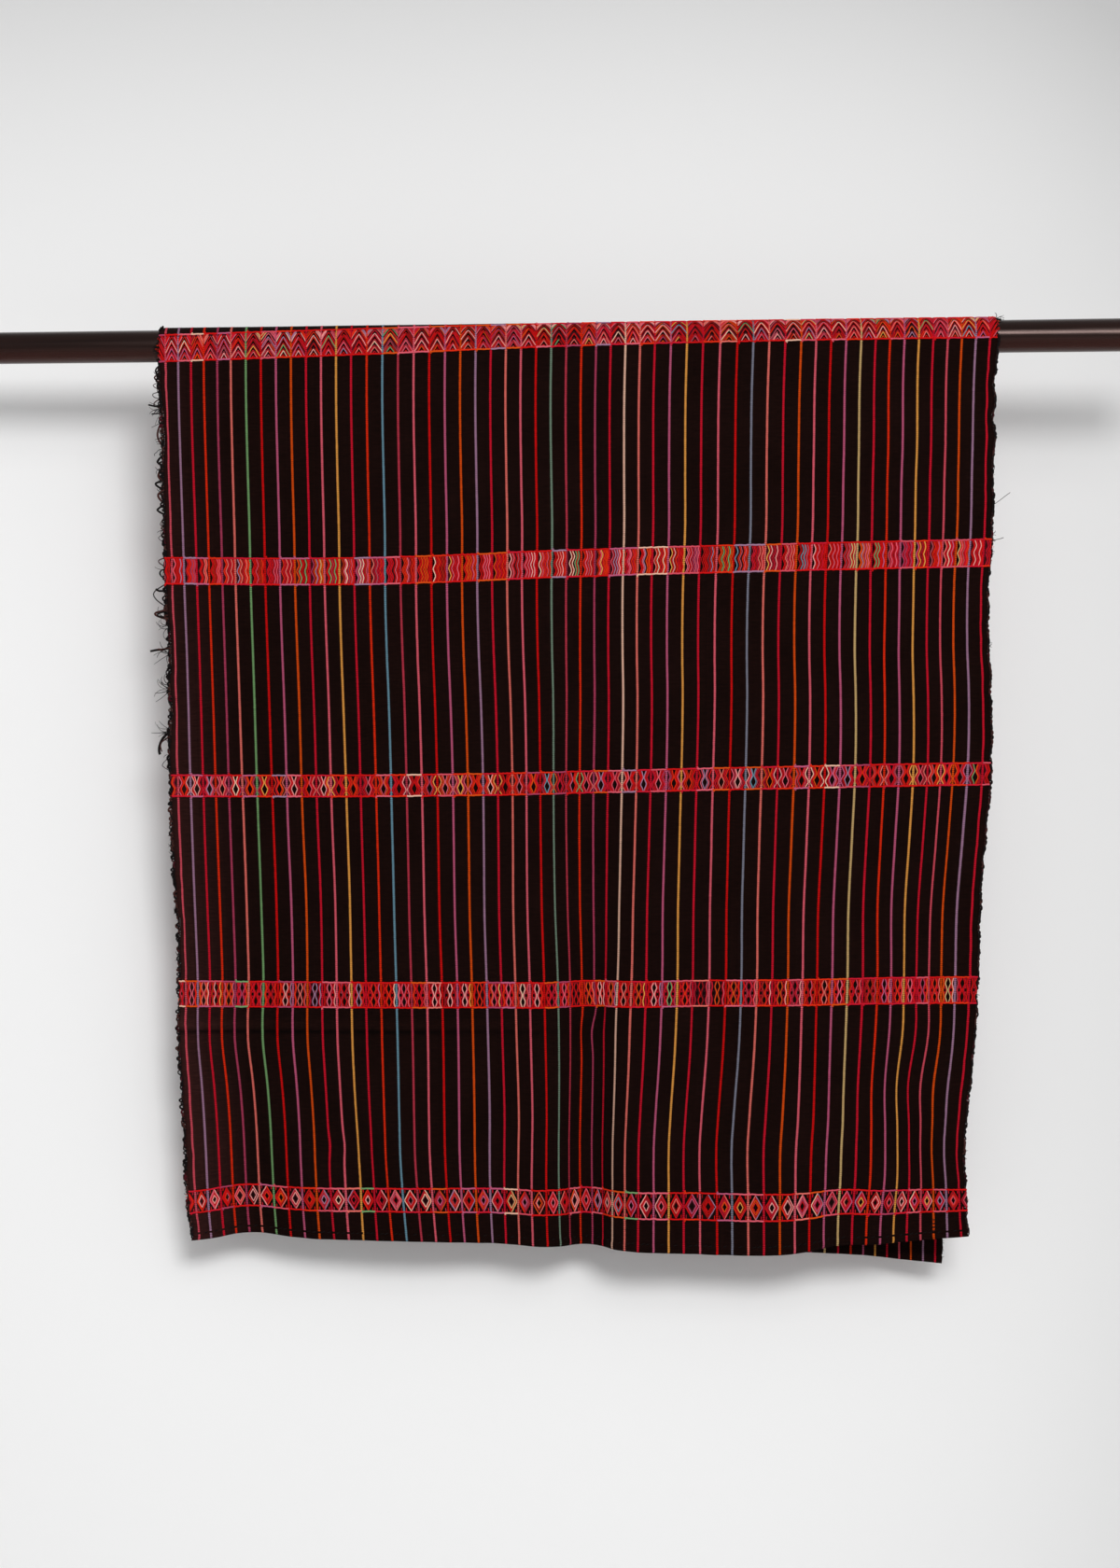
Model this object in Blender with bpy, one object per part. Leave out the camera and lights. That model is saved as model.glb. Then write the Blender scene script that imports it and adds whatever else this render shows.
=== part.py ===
"""A length of handwoven skirt cloth hanging over a round rod, with its raw side edges fraying.

Metres, +Z up, X along the rod, the front of the cloth towards -Y.
The origin is on the rod's axis, at the middle of its length.

The cloth is one woven length that hangs down the front, passes over the rod and hangs down the back.
A place on it has two numbers: across, the distance from its left edge measured on the flat cloth,
and fall, the distance along its threads below the level of the rod's axis on the front.
Fall runs on past zero to negative values over the rod and down the back.
"""

import math
import random
from collections import namedtuple

import bmesh
import bpy
import numpy as np

# Rod
ROD_LENGTH = 1.300
ROD_RADIUS_LEFT = 0.0169
ROD_RADIUS_RIGHT = 0.0177
ROD_TILT = math.radians(0.68)
ROD_SIDES = 28
ROD_CHAMFER = 0.0015

# Cloth, flat
CLOTH_WIDTH = 0.896
CLOTH_THICKNESS = 0.0020
HEM_THICKNESS = 0.0032
HEM_DEPTH = 0.0090
HEM_STEP = 0.0010
ROD_CLEARANCE = 0.0005
EDGE_STRIP_WIDTH = 0.0030
PIECE_GAP = 0.0003

# Cloth, as it hangs
TOP_LEFT_X = -0.4280
TOP_RIGHT_X = 0.4665
FRONT_FALL = 0.966
BACK_FALL = 0.970
BACK_DRIFT = 0.010

# Weft threads don't run level. Each row is one weft thread, and its columns say how much lower it lies
# than its own fall at the left edge, at each quarter of the width and at the right edge.
Weft = namedtuple("Weft", "fall left quarter middle three_quarters right")
FRONT_WEFTS = (
    Weft(fall=0.008, left=0.0110, quarter=0.0055, middle=-0.0010, three_quarters=-0.0038, right=-0.0045),
    Weft(fall=0.224, left=0.0035, quarter=0.0060, middle=0.0000, three_quarters=-0.0035, right=-0.0060),
    Weft(fall=0.459, left=0.0000, quarter=0.0025, middle=0.0015, three_quarters=-0.0020, right=-0.0030),
    Weft(fall=0.683, left=-0.0040, quarter=0.0000, middle=0.0025, three_quarters=0.0010, right=0.0015),
    Weft(fall=0.905, left=-0.0040, quarter=-0.0040, middle=0.0015, three_quarters=0.0055, right=0.0045),
    Weft(fall=FRONT_FALL, left=-0.0125, quarter=-0.0085, middle=0.0020, three_quarters=0.0100, right=-0.0060),
)
# The same on the back, with its fall counted from the rod down the back.
BACK_WEFTS = (
    Weft(fall=0.000, left=-0.0110, quarter=-0.0055, middle=0.0010, three_quarters=0.0038, right=0.0045),
    Weft(fall=0.500, left=-0.0150, quarter=-0.0080, middle=0.0000, three_quarters=0.0060, right=0.0120),
    Weft(fall=BACK_FALL, left=-0.0300, quarter=-0.0140, middle=-0.0020, three_quarters=0.0095, right=0.0280),
)

# How far each side edge stands in from where it crosses the rod.
Edge = namedtuple("Edge", "fall left_in right_in")
FRONT_EDGES = (
    Edge(fall=0.000, left_in=0.0000, right_in=0.0000),
    Edge(fall=0.060, left_in=0.0008, right_in=0.0030),
    Edge(fall=0.140, left_in=0.0030, right_in=0.0048),
    Edge(fall=0.210, left_in=0.0052, right_in=0.0058),
    Edge(fall=0.255, left_in=0.0064, right_in=0.0086),
    Edge(fall=0.335, left_in=0.0092, right_in=0.0092),
    Edge(fall=0.380, left_in=0.0106, right_in=0.0070),
    Edge(fall=0.460, left_in=0.0131, right_in=0.0070),
    Edge(fall=0.540, left_in=0.0162, right_in=0.0125),
    Edge(fall=0.610, left_in=0.0190, right_in=0.0185),
    Edge(fall=0.690, left_in=0.0223, right_in=0.0215),
    Edge(fall=0.760, left_in=0.0247, right_in=0.0258),
    Edge(fall=0.830, left_in=0.0275, right_in=0.0335),
    Edge(fall=0.865, left_in=0.0292, right_in=0.0365),
    Edge(fall=0.910, left_in=0.0320, right_in=0.0337),
    Edge(fall=FRONT_FALL, left_in=0.0380, right_in=0.0313),
)
BACK_EDGES = (
    Edge(fall=0.000, left_in=0.0000, right_in=0.0000),
    Edge(fall=0.480, left_in=0.0150, right_in=0.0220),
    Edge(fall=BACK_FALL, left_in=0.0400, right_in=0.0535),
)

# Soft folds that run down the cloth and deepen towards its hem. across is the fold's middle line,
# reach its half width, back how far it stands back at the hem (negative stands forward), lift how far
# it raises the hem, drawn_in the share of width lost to small creases there, starts the fall it begins at.
Fold = namedtuple("Fold", "across reach back lift drawn_in starts")
FRONT_FOLDS = (
    Fold(across=0.000, reach=0.030, back=-0.008, lift=-0.0020, drawn_in=0.00, starts=0.70),
    Fold(across=0.064, reach=0.030, back=0.009, lift=0.0065, drawn_in=0.00, starts=0.74),
    Fold(across=0.237, reach=0.060, back=-0.010, lift=0.0000, drawn_in=0.00, starts=0.05),
    Fold(across=0.300, reach=0.070, back=0.000, lift=0.0000, drawn_in=0.07, starts=0.87),
    Fold(across=0.337, reach=0.030, back=0.006, lift=0.0000, drawn_in=0.00, starts=0.30),
    Fold(across=0.400, reach=0.026, back=-0.010, lift=0.0000, drawn_in=0.02, starts=0.10),
    Fold(across=0.461, reach=0.026, back=0.024, lift=0.0010, drawn_in=0.08, starts=0.03),
    Fold(across=0.531, reach=0.034, back=-0.012, lift=0.0000, drawn_in=0.04, starts=0.10),
    Fold(across=0.685, reach=0.060, back=-0.007, lift=-0.0020, drawn_in=0.00, starts=0.10),
    Fold(across=0.750, reach=0.022, back=0.005, lift=0.0040, drawn_in=0.00, starts=0.80),
    Fold(across=0.825, reach=0.026, back=0.009, lift=-0.0010, drawn_in=0.00, starts=0.55),
    Fold(across=0.896, reach=0.030, back=-0.007, lift=0.0000, drawn_in=0.00, starts=0.50),
)
BACK_FOLDS = (
    Fold(across=0.020, reach=0.040, back=-0.006, lift=0.0000, drawn_in=0.00, starts=0.30),
    Fold(across=0.130, reach=0.050, back=0.012, lift=0.0000, drawn_in=0.00, starts=0.05),
    Fold(across=0.290, reach=0.050, back=-0.008, lift=0.0000, drawn_in=0.00, starts=0.10),
    Fold(across=0.450, reach=0.040, back=0.014, lift=0.0000, drawn_in=0.00, starts=0.05),
    Fold(across=0.640, reach=0.060, back=-0.009, lift=0.0000, drawn_in=0.00, starts=0.10),
    Fold(across=0.800, reach=0.040, back=0.010, lift=0.0000, drawn_in=0.00, starts=0.20),
)

# Loose weft ends along the raw edges. A run holds count strands between two falls, top and bottom.
Fray = namedtuple("Fray", "side top bottom count shortest longest")
FRONT_FRAY = (
    Fray(side="left", top=0.020, bottom=0.130, count=13, shortest=0.007, longest=0.017),
    Fray(side="left", top=0.136, bottom=0.290, count=14, shortest=0.006, longest=0.015),
    Fray(side="left", top=0.300, bottom=0.470, count=13, shortest=0.004, longest=0.012),
    Fray(side="left", top=0.485, bottom=0.940, count=20, shortest=0.003, longest=0.006),
    Fray(side="right", top=0.022, bottom=0.150, count=8, shortest=0.003, longest=0.006),
    Fray(side="right", top=0.172, bottom=0.216, count=2, shortest=0.014, longest=0.016),
    Fray(side="right", top=0.235, bottom=0.530, count=12, shortest=0.003, longest=0.007),
    Fray(side="right", top=0.545, bottom=0.940, count=16, shortest=0.003, longest=0.005),
)
BACK_FRAY = (
    Fray(side="left", top=0.040, bottom=0.930, count=14, shortest=0.004, longest=0.009),
    Fray(side="right", top=0.040, bottom=0.930, count=12, shortest=0.003, longest=0.007),
)
STRAND_WIDTH = 0.0012
STRAND_TIP = 0.0007
STRAND_STEP = 0.0045
STRAND_SAG = 30.0
STRAND_SHIFT = 0.25
ROW_SPACE = 0.0010
FRAY_SEED = 7

# Mesh spacing
COLUMNS = 40
FRONT_ROW = 0.0420
ARC_ROWS = 17
ARC_LEAN = 0.012
BACK_ROW = 0.0750
SLOPE_STEP = 0.0005
WIDTH_SAMPLES = 449


def clear_scene():
    for obj in list(bpy.data.objects):
        bpy.data.objects.remove(obj, do_unlink=True)


def principled(name, colour, roughness):
    material = bpy.data.materials.new(name)
    material.use_nodes = True
    shader = material.node_tree.nodes["Principled BSDF"]
    shader.inputs["Base Color"].default_value = (*colour, 1.0)
    shader.inputs["Roughness"].default_value = roughness
    shader.inputs["Metallic"].default_value = 0.0
    return material


def add_object(name, bm, material):
    """Makes a mesh object of a closed bmesh, with its faces pointing out."""
    bmesh.ops.recalc_face_normals(bm, faces=bm.faces)
    mesh = bpy.data.meshes.new(name)
    bm.to_mesh(mesh)
    bm.free()
    mesh.materials.append(material)
    obj = bpy.data.objects.new(name, mesh)
    bpy.context.scene.collection.objects.link(obj)
    return obj


def smooth_curve(at, knots, values):
    """A cubic curve through the knots, whose slope at each knot is that between its neighbours."""
    knots = np.asarray(knots, float)
    values = np.asarray(values, float)
    slopes = np.gradient(values, knots)
    at = np.clip(at, knots[0], knots[-1])
    i = np.clip(np.searchsorted(knots, at, side="right") - 1, 0, len(knots) - 2)
    span = knots[i + 1] - knots[i]
    q = (at - knots[i]) / span
    from_values = values[i] * (1 + 2 * q) * (1 - q) ** 2 + values[i + 1] * q**2 * (3 - 2 * q)
    from_slopes = slopes[i] * q * (1 - q) ** 2 - slopes[i + 1] * q**2 * (1 - q)
    return from_values + span * from_slopes


def rod_radius(x):
    return ROD_RADIUS_LEFT + (ROD_RADIUS_RIGHT - ROD_RADIUS_LEFT) * (x / ROD_LENGTH + 0.5)


def rod_height(x):
    """Height of the rod's axis, which passes through the origin and rises to the right."""
    return x * math.tan(ROD_TILT)


def weft_drop(across, fall, wefts):
    """How far below its own fall the weft thread at this fall lies, at this distance across."""
    falls = [weft.fall for weft in wefts]
    columns = np.array([weft[1:] for weft in wefts]).T
    here = [smooth_curve(fall, falls, column) for column in columns]
    return float(smooth_curve(across, np.linspace(0.0, CLOTH_WIDTH, len(columns)), here))


def fold_share(fold, across, fall, hem):
    """How much of a fold there is: none where it starts, all of it on its middle line at the hem."""
    growth = min(max((fall - fold.starts) / (hem - fold.starts), 0.0), 1.0)
    return growth * np.exp(-0.5 * ((across - fold.across) / fold.reach) ** 2)


def fold_lift(across, fall, folds, hem):
    return float(sum(fold.lift * fold_share(fold, across, fall, hem) for fold in folds))


def hanging_place(across, fall, edges, folds, hem):
    """X and depth of a place on a hanging layer. Cloth that turns into a fold takes less width."""
    samples = np.linspace(0.0, CLOTH_WIDTH, WIDTH_SAMPLES)
    shares = [fold_share(fold, samples, fall, hem) for fold in folds]
    depth = sum(fold.back * share for fold, share in zip(folds, shares))
    drawn_in = sum(fold.drawn_in * share for fold, share in zip(folds, shares))
    seen = np.sqrt(1.0 - np.gradient(depth, samples) ** 2) * (1.0 - drawn_in)
    reached = np.concatenate([[0.0], np.cumsum(seen[1:])])
    falls = [edge.fall for edge in edges]
    left = TOP_LEFT_X + smooth_curve(fall, falls, [edge.left_in for edge in edges])
    right = TOP_RIGHT_X - smooth_curve(fall, falls, [edge.right_in for edge in edges])
    x = left + (right - left) * np.interp(across, samples, reached) / reached[-1]
    return float(x), float(np.interp(across, samples, depth))


def arc_radius(x):
    """Radius of the cloth's middle surface where it lies on the rod."""
    return rod_radius(x) + ROD_CLEARANCE + CLOTH_THICKNESS / 2


def cloth_place(across, fall):
    """The place of one point of the cloth's middle surface: on the front, over the rod or on the back."""
    flat_x = TOP_LEFT_X + (TOP_RIGHT_X - TOP_LEFT_X) * across / CLOTH_WIDTH
    radius = arc_radius(flat_x)
    drop = fall + weft_drop(across, fall, FRONT_WEFTS)
    if drop >= 0.0:
        x, depth = hanging_place(across, drop, FRONT_EDGES, FRONT_FOLDS, FRONT_FALL)
        z = rod_height(x) - drop + fold_lift(across, drop, FRONT_FOLDS, FRONT_FALL)
        return x, depth - arc_radius(x), z
    turn = -drop / radius
    if turn <= math.pi:
        return flat_x, -radius * math.cos(turn), rod_height(flat_x) + radius * math.sin(turn)
    below = -drop - math.pi * radius
    lean = weft_drop(across, below, BACK_WEFTS) - weft_drop(across, 0.0, BACK_WEFTS)
    drop = below * (1.0 + lean / BACK_FALL)
    x, depth = hanging_place(across, drop, BACK_EDGES, BACK_FOLDS, BACK_FALL)
    return x, arc_radius(x) + depth + BACK_DRIFT * drop / BACK_FALL, rod_height(x) - drop


def cloth_faces(across, fall):
    """The two points, front and back, where the cloth's faces lie at this place."""
    hem_side = min(FRONT_FALL - fall, fall - back_hem_fall())
    thickness = HEM_THICKNESS if hem_side < HEM_DEPTH else CLOTH_THICKNESS
    step = SLOPE_STEP
    place = np.array(cloth_place(across, fall))
    along_weft = np.array(cloth_place(across + step, fall)) - np.array(cloth_place(across - step, fall))
    along_warp = np.array(cloth_place(across, fall + step)) - np.array(cloth_place(across, fall - step))
    normal = np.cross(along_weft, along_warp)
    normal *= thickness / 2 / np.linalg.norm(normal)
    return place - normal, place + normal


def back_hem_fall():
    return -(math.pi * arc_radius(0.0) + BACK_FALL)


def over_rod_falls():
    """Where the stretch over the rod begins and ends. Rows lean with the wefts, so it runs on by ARC_LEAN."""
    return ARC_LEAN, -math.pi * arc_radius(0.0) - ARC_LEAN


def front_falls():
    """The fall of each row of the front's mesh, from its hem up to the stretch over the rod."""
    top = over_rod_falls()[0]
    hem_top = FRONT_FALL - HEM_DEPTH
    rows = np.linspace(hem_top - HEM_STEP, top, round(FRONT_FALL / FRONT_ROW) + 1)
    return [FRONT_FALL, hem_top + HEM_STEP, *rows]


def back_falls():
    """The fall of each row of the back's mesh, from the stretch over the rod down to its hem."""
    top = over_rod_falls()[1]
    hem_top = back_hem_fall() + HEM_DEPTH
    rows = np.linspace(top, hem_top + HEM_STEP, round(BACK_FALL / BACK_ROW) + 1)
    return [*rows, hem_top - HEM_STEP, back_hem_fall()]


def cloth_rows():
    """Each row of the cloth's mesh, as its fall and how far in from each side edge it stops.

    The front and the back stop short of the frayed strips, and the stretch over the rod has the whole width.
    """
    margin = EDGE_STRIP_WIDTH + PIECE_GAP
    front_top, back_top = over_rod_falls()
    over = np.linspace(front_top - PIECE_GAP, back_top + PIECE_GAP, ARC_ROWS + 1)
    rows = [(fall, margin) for fall in front_falls()]
    rows += [(fall, 0.0) for fall in over]
    rows += [(fall, margin) for fall in back_falls()]
    return rows


def build_rod(material):
    """A plain round rod, a little thicker at its right end, with a small chamfer at each end."""
    half = ROD_LENGTH / 2
    rings = (
        (-half, rod_radius(-half) - ROD_CHAMFER),
        (-half + ROD_CHAMFER, rod_radius(-half)),
        (0.0, rod_radius(0.0)),
        (half - ROD_CHAMFER, rod_radius(half)),
        (half, rod_radius(half) - ROD_CHAMFER),
    )
    bm = bmesh.new()
    circles = []
    for x, radius in rings:
        turns = [2 * math.pi * side / ROD_SIDES for side in range(ROD_SIDES)]
        circles.append([bm.verts.new((x, radius * math.cos(a), radius * math.sin(a))) for a in turns])
    for one, other in zip(circles, circles[1:]):
        for side in range(ROD_SIDES):
            after = (side + 1) % ROD_SIDES
            bm.faces.new((one[side], one[after], other[after], other[side]))
    bm.faces.new(circles[0])
    bm.faces.new(circles[-1])
    rod = add_object("rod", bm, material)
    rod.rotation_euler.y = -ROD_TILT
    return rod


def build_cloth(material):
    """The whole draped length as one closed sheet, short of the frayed strips at its sides."""
    inner_columns = np.linspace(0.0, CLOTH_WIDTH, COLUMNS + 1)[1:-1]
    bm = bmesh.new()
    front = []
    back = []
    for fall, margin in cloth_rows():
        columns = (margin, *inner_columns, CLOTH_WIDTH - margin)
        pairs = [cloth_faces(across, fall) for across in columns]
        front.append([bm.verts.new(pair[0]) for pair in pairs])
        back.append([bm.verts.new(pair[1]) for pair in pairs])
    last = len(front) - 1
    for row in range(last):
        for column in range(COLUMNS):
            for layer in (front, back):
                corners = (layer[row][column], layer[row][column + 1])
                bm.faces.new((*corners, layer[row + 1][column + 1], layer[row + 1][column]))
        for column in (0, COLUMNS):
            corners = (front[row][column], front[row + 1][column])
            bm.faces.new((*corners, back[row + 1][column], back[row][column]))
    for row in (0, last):
        for column in range(COLUMNS):
            corners = (front[row][column], front[row][column + 1])
            bm.faces.new((*corners, back[row][column + 1], back[row][column]))
    return add_object("cloth", bm, material)


def clear_of_rows(fall, rows):
    """Moves a strand along the edge so that no row of the cloth's mesh runs through its root."""
    nearest = min(rows, key=lambda row: abs(row - fall))
    if abs(fall - nearest) >= ROW_SPACE:
        return fall
    return nearest + math.copysign(ROW_SPACE, fall - nearest)


def strand_roots(runs, side, rows, rng):
    """The length of each loose end along one edge, by the fall of its root.

    The back's runs count their falls from the rod down the back.
    """
    roots = {}
    for run in runs:
        if run.side != side:
            continue
        space = (run.bottom - run.top) / (run.count - 1)
        for k in range(run.count):
            low = run.top + space * (k + STRAND_SHIFT * rng.uniform(-1.0, 1.0))
            fall = low if runs is FRONT_FRAY else -math.pi * arc_radius(0.0) - low
            roots[clear_of_rows(fall, rows)] = rng.uniform(run.shortest, run.longest)
    return roots


def add_strand(bm, root, outward, length):
    """Draws one loose end out of the four corners of its root. It sags and thins towards its tip."""
    corners = [np.array(corner.co) for corner in root]
    centre = sum(corners) / len(corners)
    offsets = [corner - centre for corner in corners]
    widest = max(np.linalg.norm(offset) for offset in offsets)
    steps = max(1, round(length / STRAND_STEP))
    ring = root
    for step in range(1, steps + 1):
        out = length * step / steps
        place = centre + np.array((outward * out, 0.0, -STRAND_SAG * out**2))
        size = 1.0 + (STRAND_TIP / widest / 2 - 1.0) * step / steps
        after = [bm.verts.new(place + offset * size) for offset in offsets]
        for i in range(4):
            j = (i + 1) % 4
            bm.faces.new((ring[i], ring[j], after[j], after[i]))
        ring = after
    bm.faces.new(ring)


def edge_line(across, falls, layer_falls):
    """The cloth's two faces at this distance across, at each fall, on straight lines between its rows."""
    upwards = sorted(layer_falls)
    faces = np.array([np.concatenate(cloth_faces(across, row)) for row in upwards])
    places = np.array([np.interp(falls, upwards, column) for column in faces.T]).T
    return places.reshape(-1, 2, 3)


def build_fray(name, side, runs, layer_falls, material, rng):
    """A frayed edge of the front or the back: a narrow strip with loose weft ends standing out sideways.

    Its rows are those of the cloth beside it, but the top one keeps a gap to the stretch over the rod.
    """
    outward = -1.0 if side == "left" else 1.0
    outer = 0.0 if side == "left" else CLOTH_WIDTH
    inner = outer - outward * EDGE_STRIP_WIDTH
    half = STRAND_WIDTH / 2
    roots = strand_roots(runs, side, layer_falls, rng)
    lengths = {fall + half: length for fall, length in roots.items()}
    front_top, back_top = over_rod_falls()
    strip_falls = [fall for fall in layer_falls if fall not in (front_top, back_top)]
    strip_falls.append(front_top + PIECE_GAP if runs is FRONT_FRAY else back_top - PIECE_GAP)
    falls = sorted([*strip_falls, *lengths, *(fall - half for fall in roots)], reverse=True)
    bm = bmesh.new()
    rows = []
    for inside, outside in zip(edge_line(inner, falls, layer_falls), edge_line(outer, falls, layer_falls)):
        rows.append([bm.verts.new(p) for p in (inside[0], outside[0], outside[1], inside[1])])
    for fall, row, after in zip(falls, rows, rows[1:]):
        for i in range(4):
            j = (i + 1) % 4
            if i == 1 and fall in lengths:
                add_strand(bm, [row[i], row[j], after[j], after[i]], outward, lengths[fall])
            else:
                bm.faces.new((row[i], row[j], after[j], after[i]))
    bm.faces.new(rows[0])
    bm.faces.new(rows[-1])
    return add_object(name, bm, material)


def main():
    clear_scene()
    rng = random.Random(FRAY_SEED)
    wood = principled("dark_turned_wood", (0.045, 0.022, 0.016), 0.35)
    weave = principled("black_handwoven_cotton", (0.012, 0.008, 0.008), 0.90)
    loose_ends = principled("frayed_black_cotton", (0.010, 0.007, 0.007), 0.95)
    build_rod(wood)
    build_cloth(weave)
    for layer, runs, falls in (("front", FRONT_FRAY, front_falls()), ("back", BACK_FRAY, back_falls())):
        for side in ("left", "right"):
            build_fray(f"fray_{layer}_{side}", side, runs, falls, loose_ends, rng)


main()
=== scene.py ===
# %% [markdown]
# # A handwoven skirt cloth on a rod
#
# A back-strap loom makes a cloth like this: black cotton with a thin coloured stripe every sixteen
# millimetres, and five bands where coloured yarns are worked in by hand between the black wefts.
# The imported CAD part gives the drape. This script weaves the same drape finely, then adds what CAD
# leaves out: the yarns of the bands, the stitches of the hem and the threads that have come loose.

# %% Load the frame
import math
import random
from collections import namedtuple

import bpy
import numpy as np
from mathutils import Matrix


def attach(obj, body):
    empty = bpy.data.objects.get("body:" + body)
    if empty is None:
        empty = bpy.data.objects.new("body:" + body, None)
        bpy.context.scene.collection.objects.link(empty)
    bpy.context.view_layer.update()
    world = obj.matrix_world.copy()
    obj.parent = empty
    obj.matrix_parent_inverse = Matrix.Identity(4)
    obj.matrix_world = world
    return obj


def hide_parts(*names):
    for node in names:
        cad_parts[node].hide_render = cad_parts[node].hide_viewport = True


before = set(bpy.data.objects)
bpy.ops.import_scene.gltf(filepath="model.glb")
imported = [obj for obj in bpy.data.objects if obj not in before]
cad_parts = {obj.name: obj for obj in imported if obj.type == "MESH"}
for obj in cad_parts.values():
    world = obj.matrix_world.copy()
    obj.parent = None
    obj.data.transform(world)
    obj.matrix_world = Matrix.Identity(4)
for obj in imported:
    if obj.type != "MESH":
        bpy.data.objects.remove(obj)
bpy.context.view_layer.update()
print("frame nodes:", ", ".join(sorted(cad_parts)))

# %% [markdown]
# ## How the cloth hangs
#
# A place on the cloth has two numbers. `across` is the distance from its left edge on the flat cloth.
# `fall` is the distance along its threads below the rod's axis on the front; it runs on below zero
# over the rod and down the back. The tables are those of the CAD source.

# %% The rod and the flat cloth
ROD_LENGTH = 1.300
ROD_RADIUS_LEFT = 0.0169
ROD_RADIUS_RIGHT = 0.0177
ROD_TILT = math.radians(0.68)
CLOTH_WIDTH = 0.896
CLOTH_THICKNESS = 0.0020
HEM_THICKNESS = 0.0032
HEM_DEPTH = 0.0090
ROD_CLEARANCE = 0.0005
TOP_LEFT_X = -0.4280
TOP_RIGHT_X = 0.4665
FRONT_FALL = 0.966
BACK_FALL = 0.970
BACK_DRIFT = 0.010
STITCH_ABOVE_HEM = 0.0085

# %% Where the wefts, the side edges and the folds lie
def table(columns, *rows):
    """Rows with named columns. A number is written in thousandths, so a length in millimetres."""
    Row = namedtuple("Row", columns)
    return [Row(*(c if isinstance(c, str) else round(c / 1000, 7) for c in row)) for row in rows]


WEFT = "fall left quarter middle three_quarters right"
FRONT_WEFTS = table(
    WEFT, (8, 11, 5.5, -1, -3.8, -4.5), (224, 3.5, 6, 0, -3.5, -6), (459, 0, 2.5, 1.5, -2, -3),
    (683, -4, 0, 2.5, 1, 1.5), (905, -4, -4, 1.5, 5.5, 4.5), (FRONT_FALL * 1000, -12.5, -8.5, 2, 10, -6))
BACK_WEFTS = table(
    WEFT, (0, -11, -5.5, 1, 3.8, 4.5), (500, -15, -8, 0, 6, 12), (BACK_FALL * 1000, -30, -14, -2, 9.5, 28))
EDGE = "fall left_in right_in"
FRONT_EDGES = table(
    EDGE, (0, 0, 0), (60, 0.8, 3), (140, 3, 4.8), (210, 5.2, 5.8), (255, 6.4, 8.6), (335, 9.2, 9.2),
    (380, 10.6, 7), (460, 13.1, 7), (540, 16.2, 12.5), (610, 19, 18.5), (690, 22.3, 21.5),
    (760, 24.7, 25.8), (830, 27.5, 33.5), (865, 29.2, 36.5), (910, 32, 33.7), (FRONT_FALL * 1000, 38, 31.3))
BACK_EDGES = table(EDGE, (0, 0, 0), (480, 15, 22), (BACK_FALL * 1000, 40, 53.5))
FOLD = "across reach back lift drawn_in starts"
FRONT_FOLDS = table(
    FOLD, (0, 30, -8, -2, 0, 700), (64, 30, 9, 6.5, 0, 740), (237, 60, -10, 0, 0, 50),
    (300, 70, 0, 0, 70, 870), (337, 30, 6, 0, 0, 300), (400, 26, -10, 0, 20, 100),
    (461, 26, 24, 1, 80, 30), (531, 34, -12, 0, 40, 100), (685, 60, -7, -2, 0, 100),
    (750, 22, 5, 4, 0, 800), (825, 26, 9, -1, 0, 550), (896, 30, -7, 0, 0, 500))
BACK_FOLDS = table(
    FOLD, (20, 40, -6, 0, 0, 300), (130, 50, 12, 0, 0, 50), (290, 50, -8, 0, 0, 100),
    (450, 40, 14, 0, 0, 50), (640, 60, -9, 0, 0, 100), (800, 40, 10, 0, 0, 200))

# %% Smooth curves through the tables
def smooth_curve(at, knots, values):
    """A cubic curve through the knots. values has one number a knot, or a row with one column a point."""
    knots = np.asarray(knots, float)
    values = np.asarray(values, float)
    at = np.clip(np.asarray(at, float), knots[0], knots[-1])
    slopes = np.gradient(values, knots, axis=0)
    i = np.clip(np.searchsorted(knots, at, side="right") - 1, 0, len(knots) - 2)
    span = knots[i + 1] - knots[i]
    q = (at - knots[i]) / span
    here = (i,) if values.ndim == 1 else (i, np.arange(len(at)))
    after = (i + 1,) if values.ndim == 1 else (i + 1, np.arange(len(at)))
    from_values = values[here] * (1 + 2 * q) * (1 - q) ** 2 + values[after] * q**2 * (3 - 2 * q)
    return from_values + span * (slopes[here] * q * (1 - q) ** 2 - slopes[after] * q**2 * (1 - q))


def weft_drop(across, fall, wefts):
    """How far below its own fall the weft thread at this place lies."""
    columns = np.array([weft[1:] for weft in wefts])
    falls = [weft.fall for weft in wefts]
    here = np.array([smooth_curve(fall, falls, column) for column in columns.T])
    return smooth_curve(across, np.linspace(0.0, CLOTH_WIDTH, len(here)), here)


DROPS, PLACES_ACROSS = 243, 449


def hanging_table(edges, folds, hem):
    """X, depth and lift of a hanging layer, for a grid of drops (rows) by places across (columns)."""
    drops = np.linspace(0.0, hem, DROPS)[:, None]
    samples = np.linspace(0.0, CLOTH_WIDTH, PLACES_ACROSS)[None, :]
    depth, lift, drawn_in = np.zeros((3, DROPS, PLACES_ACROSS))
    for fold in folds:
        growth = np.clip((drops - fold.starts) / (hem - fold.starts), 0.0, 1.0)
        share = growth * np.exp(-0.5 * ((samples - fold.across) / fold.reach) ** 2)
        depth += fold.back * share
        lift += fold.lift * share
        drawn_in += fold.drawn_in * share
    slope = np.gradient(depth, samples[0], axis=1)
    seen = np.sqrt(1.0 - slope**2) * (1.0 - drawn_in)
    reached = np.cumsum(seen, axis=1) - seen[:, :1]
    reached /= reached[:, -1:]
    falls = [edge.fall for edge in edges]
    left = TOP_LEFT_X + smooth_curve(drops, falls, [edge.left_in for edge in edges])
    right = TOP_RIGHT_X - smooth_curve(drops, falls, [edge.right_in for edge in edges])
    return np.array([left + (right - left) * reached, depth, lift])


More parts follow.
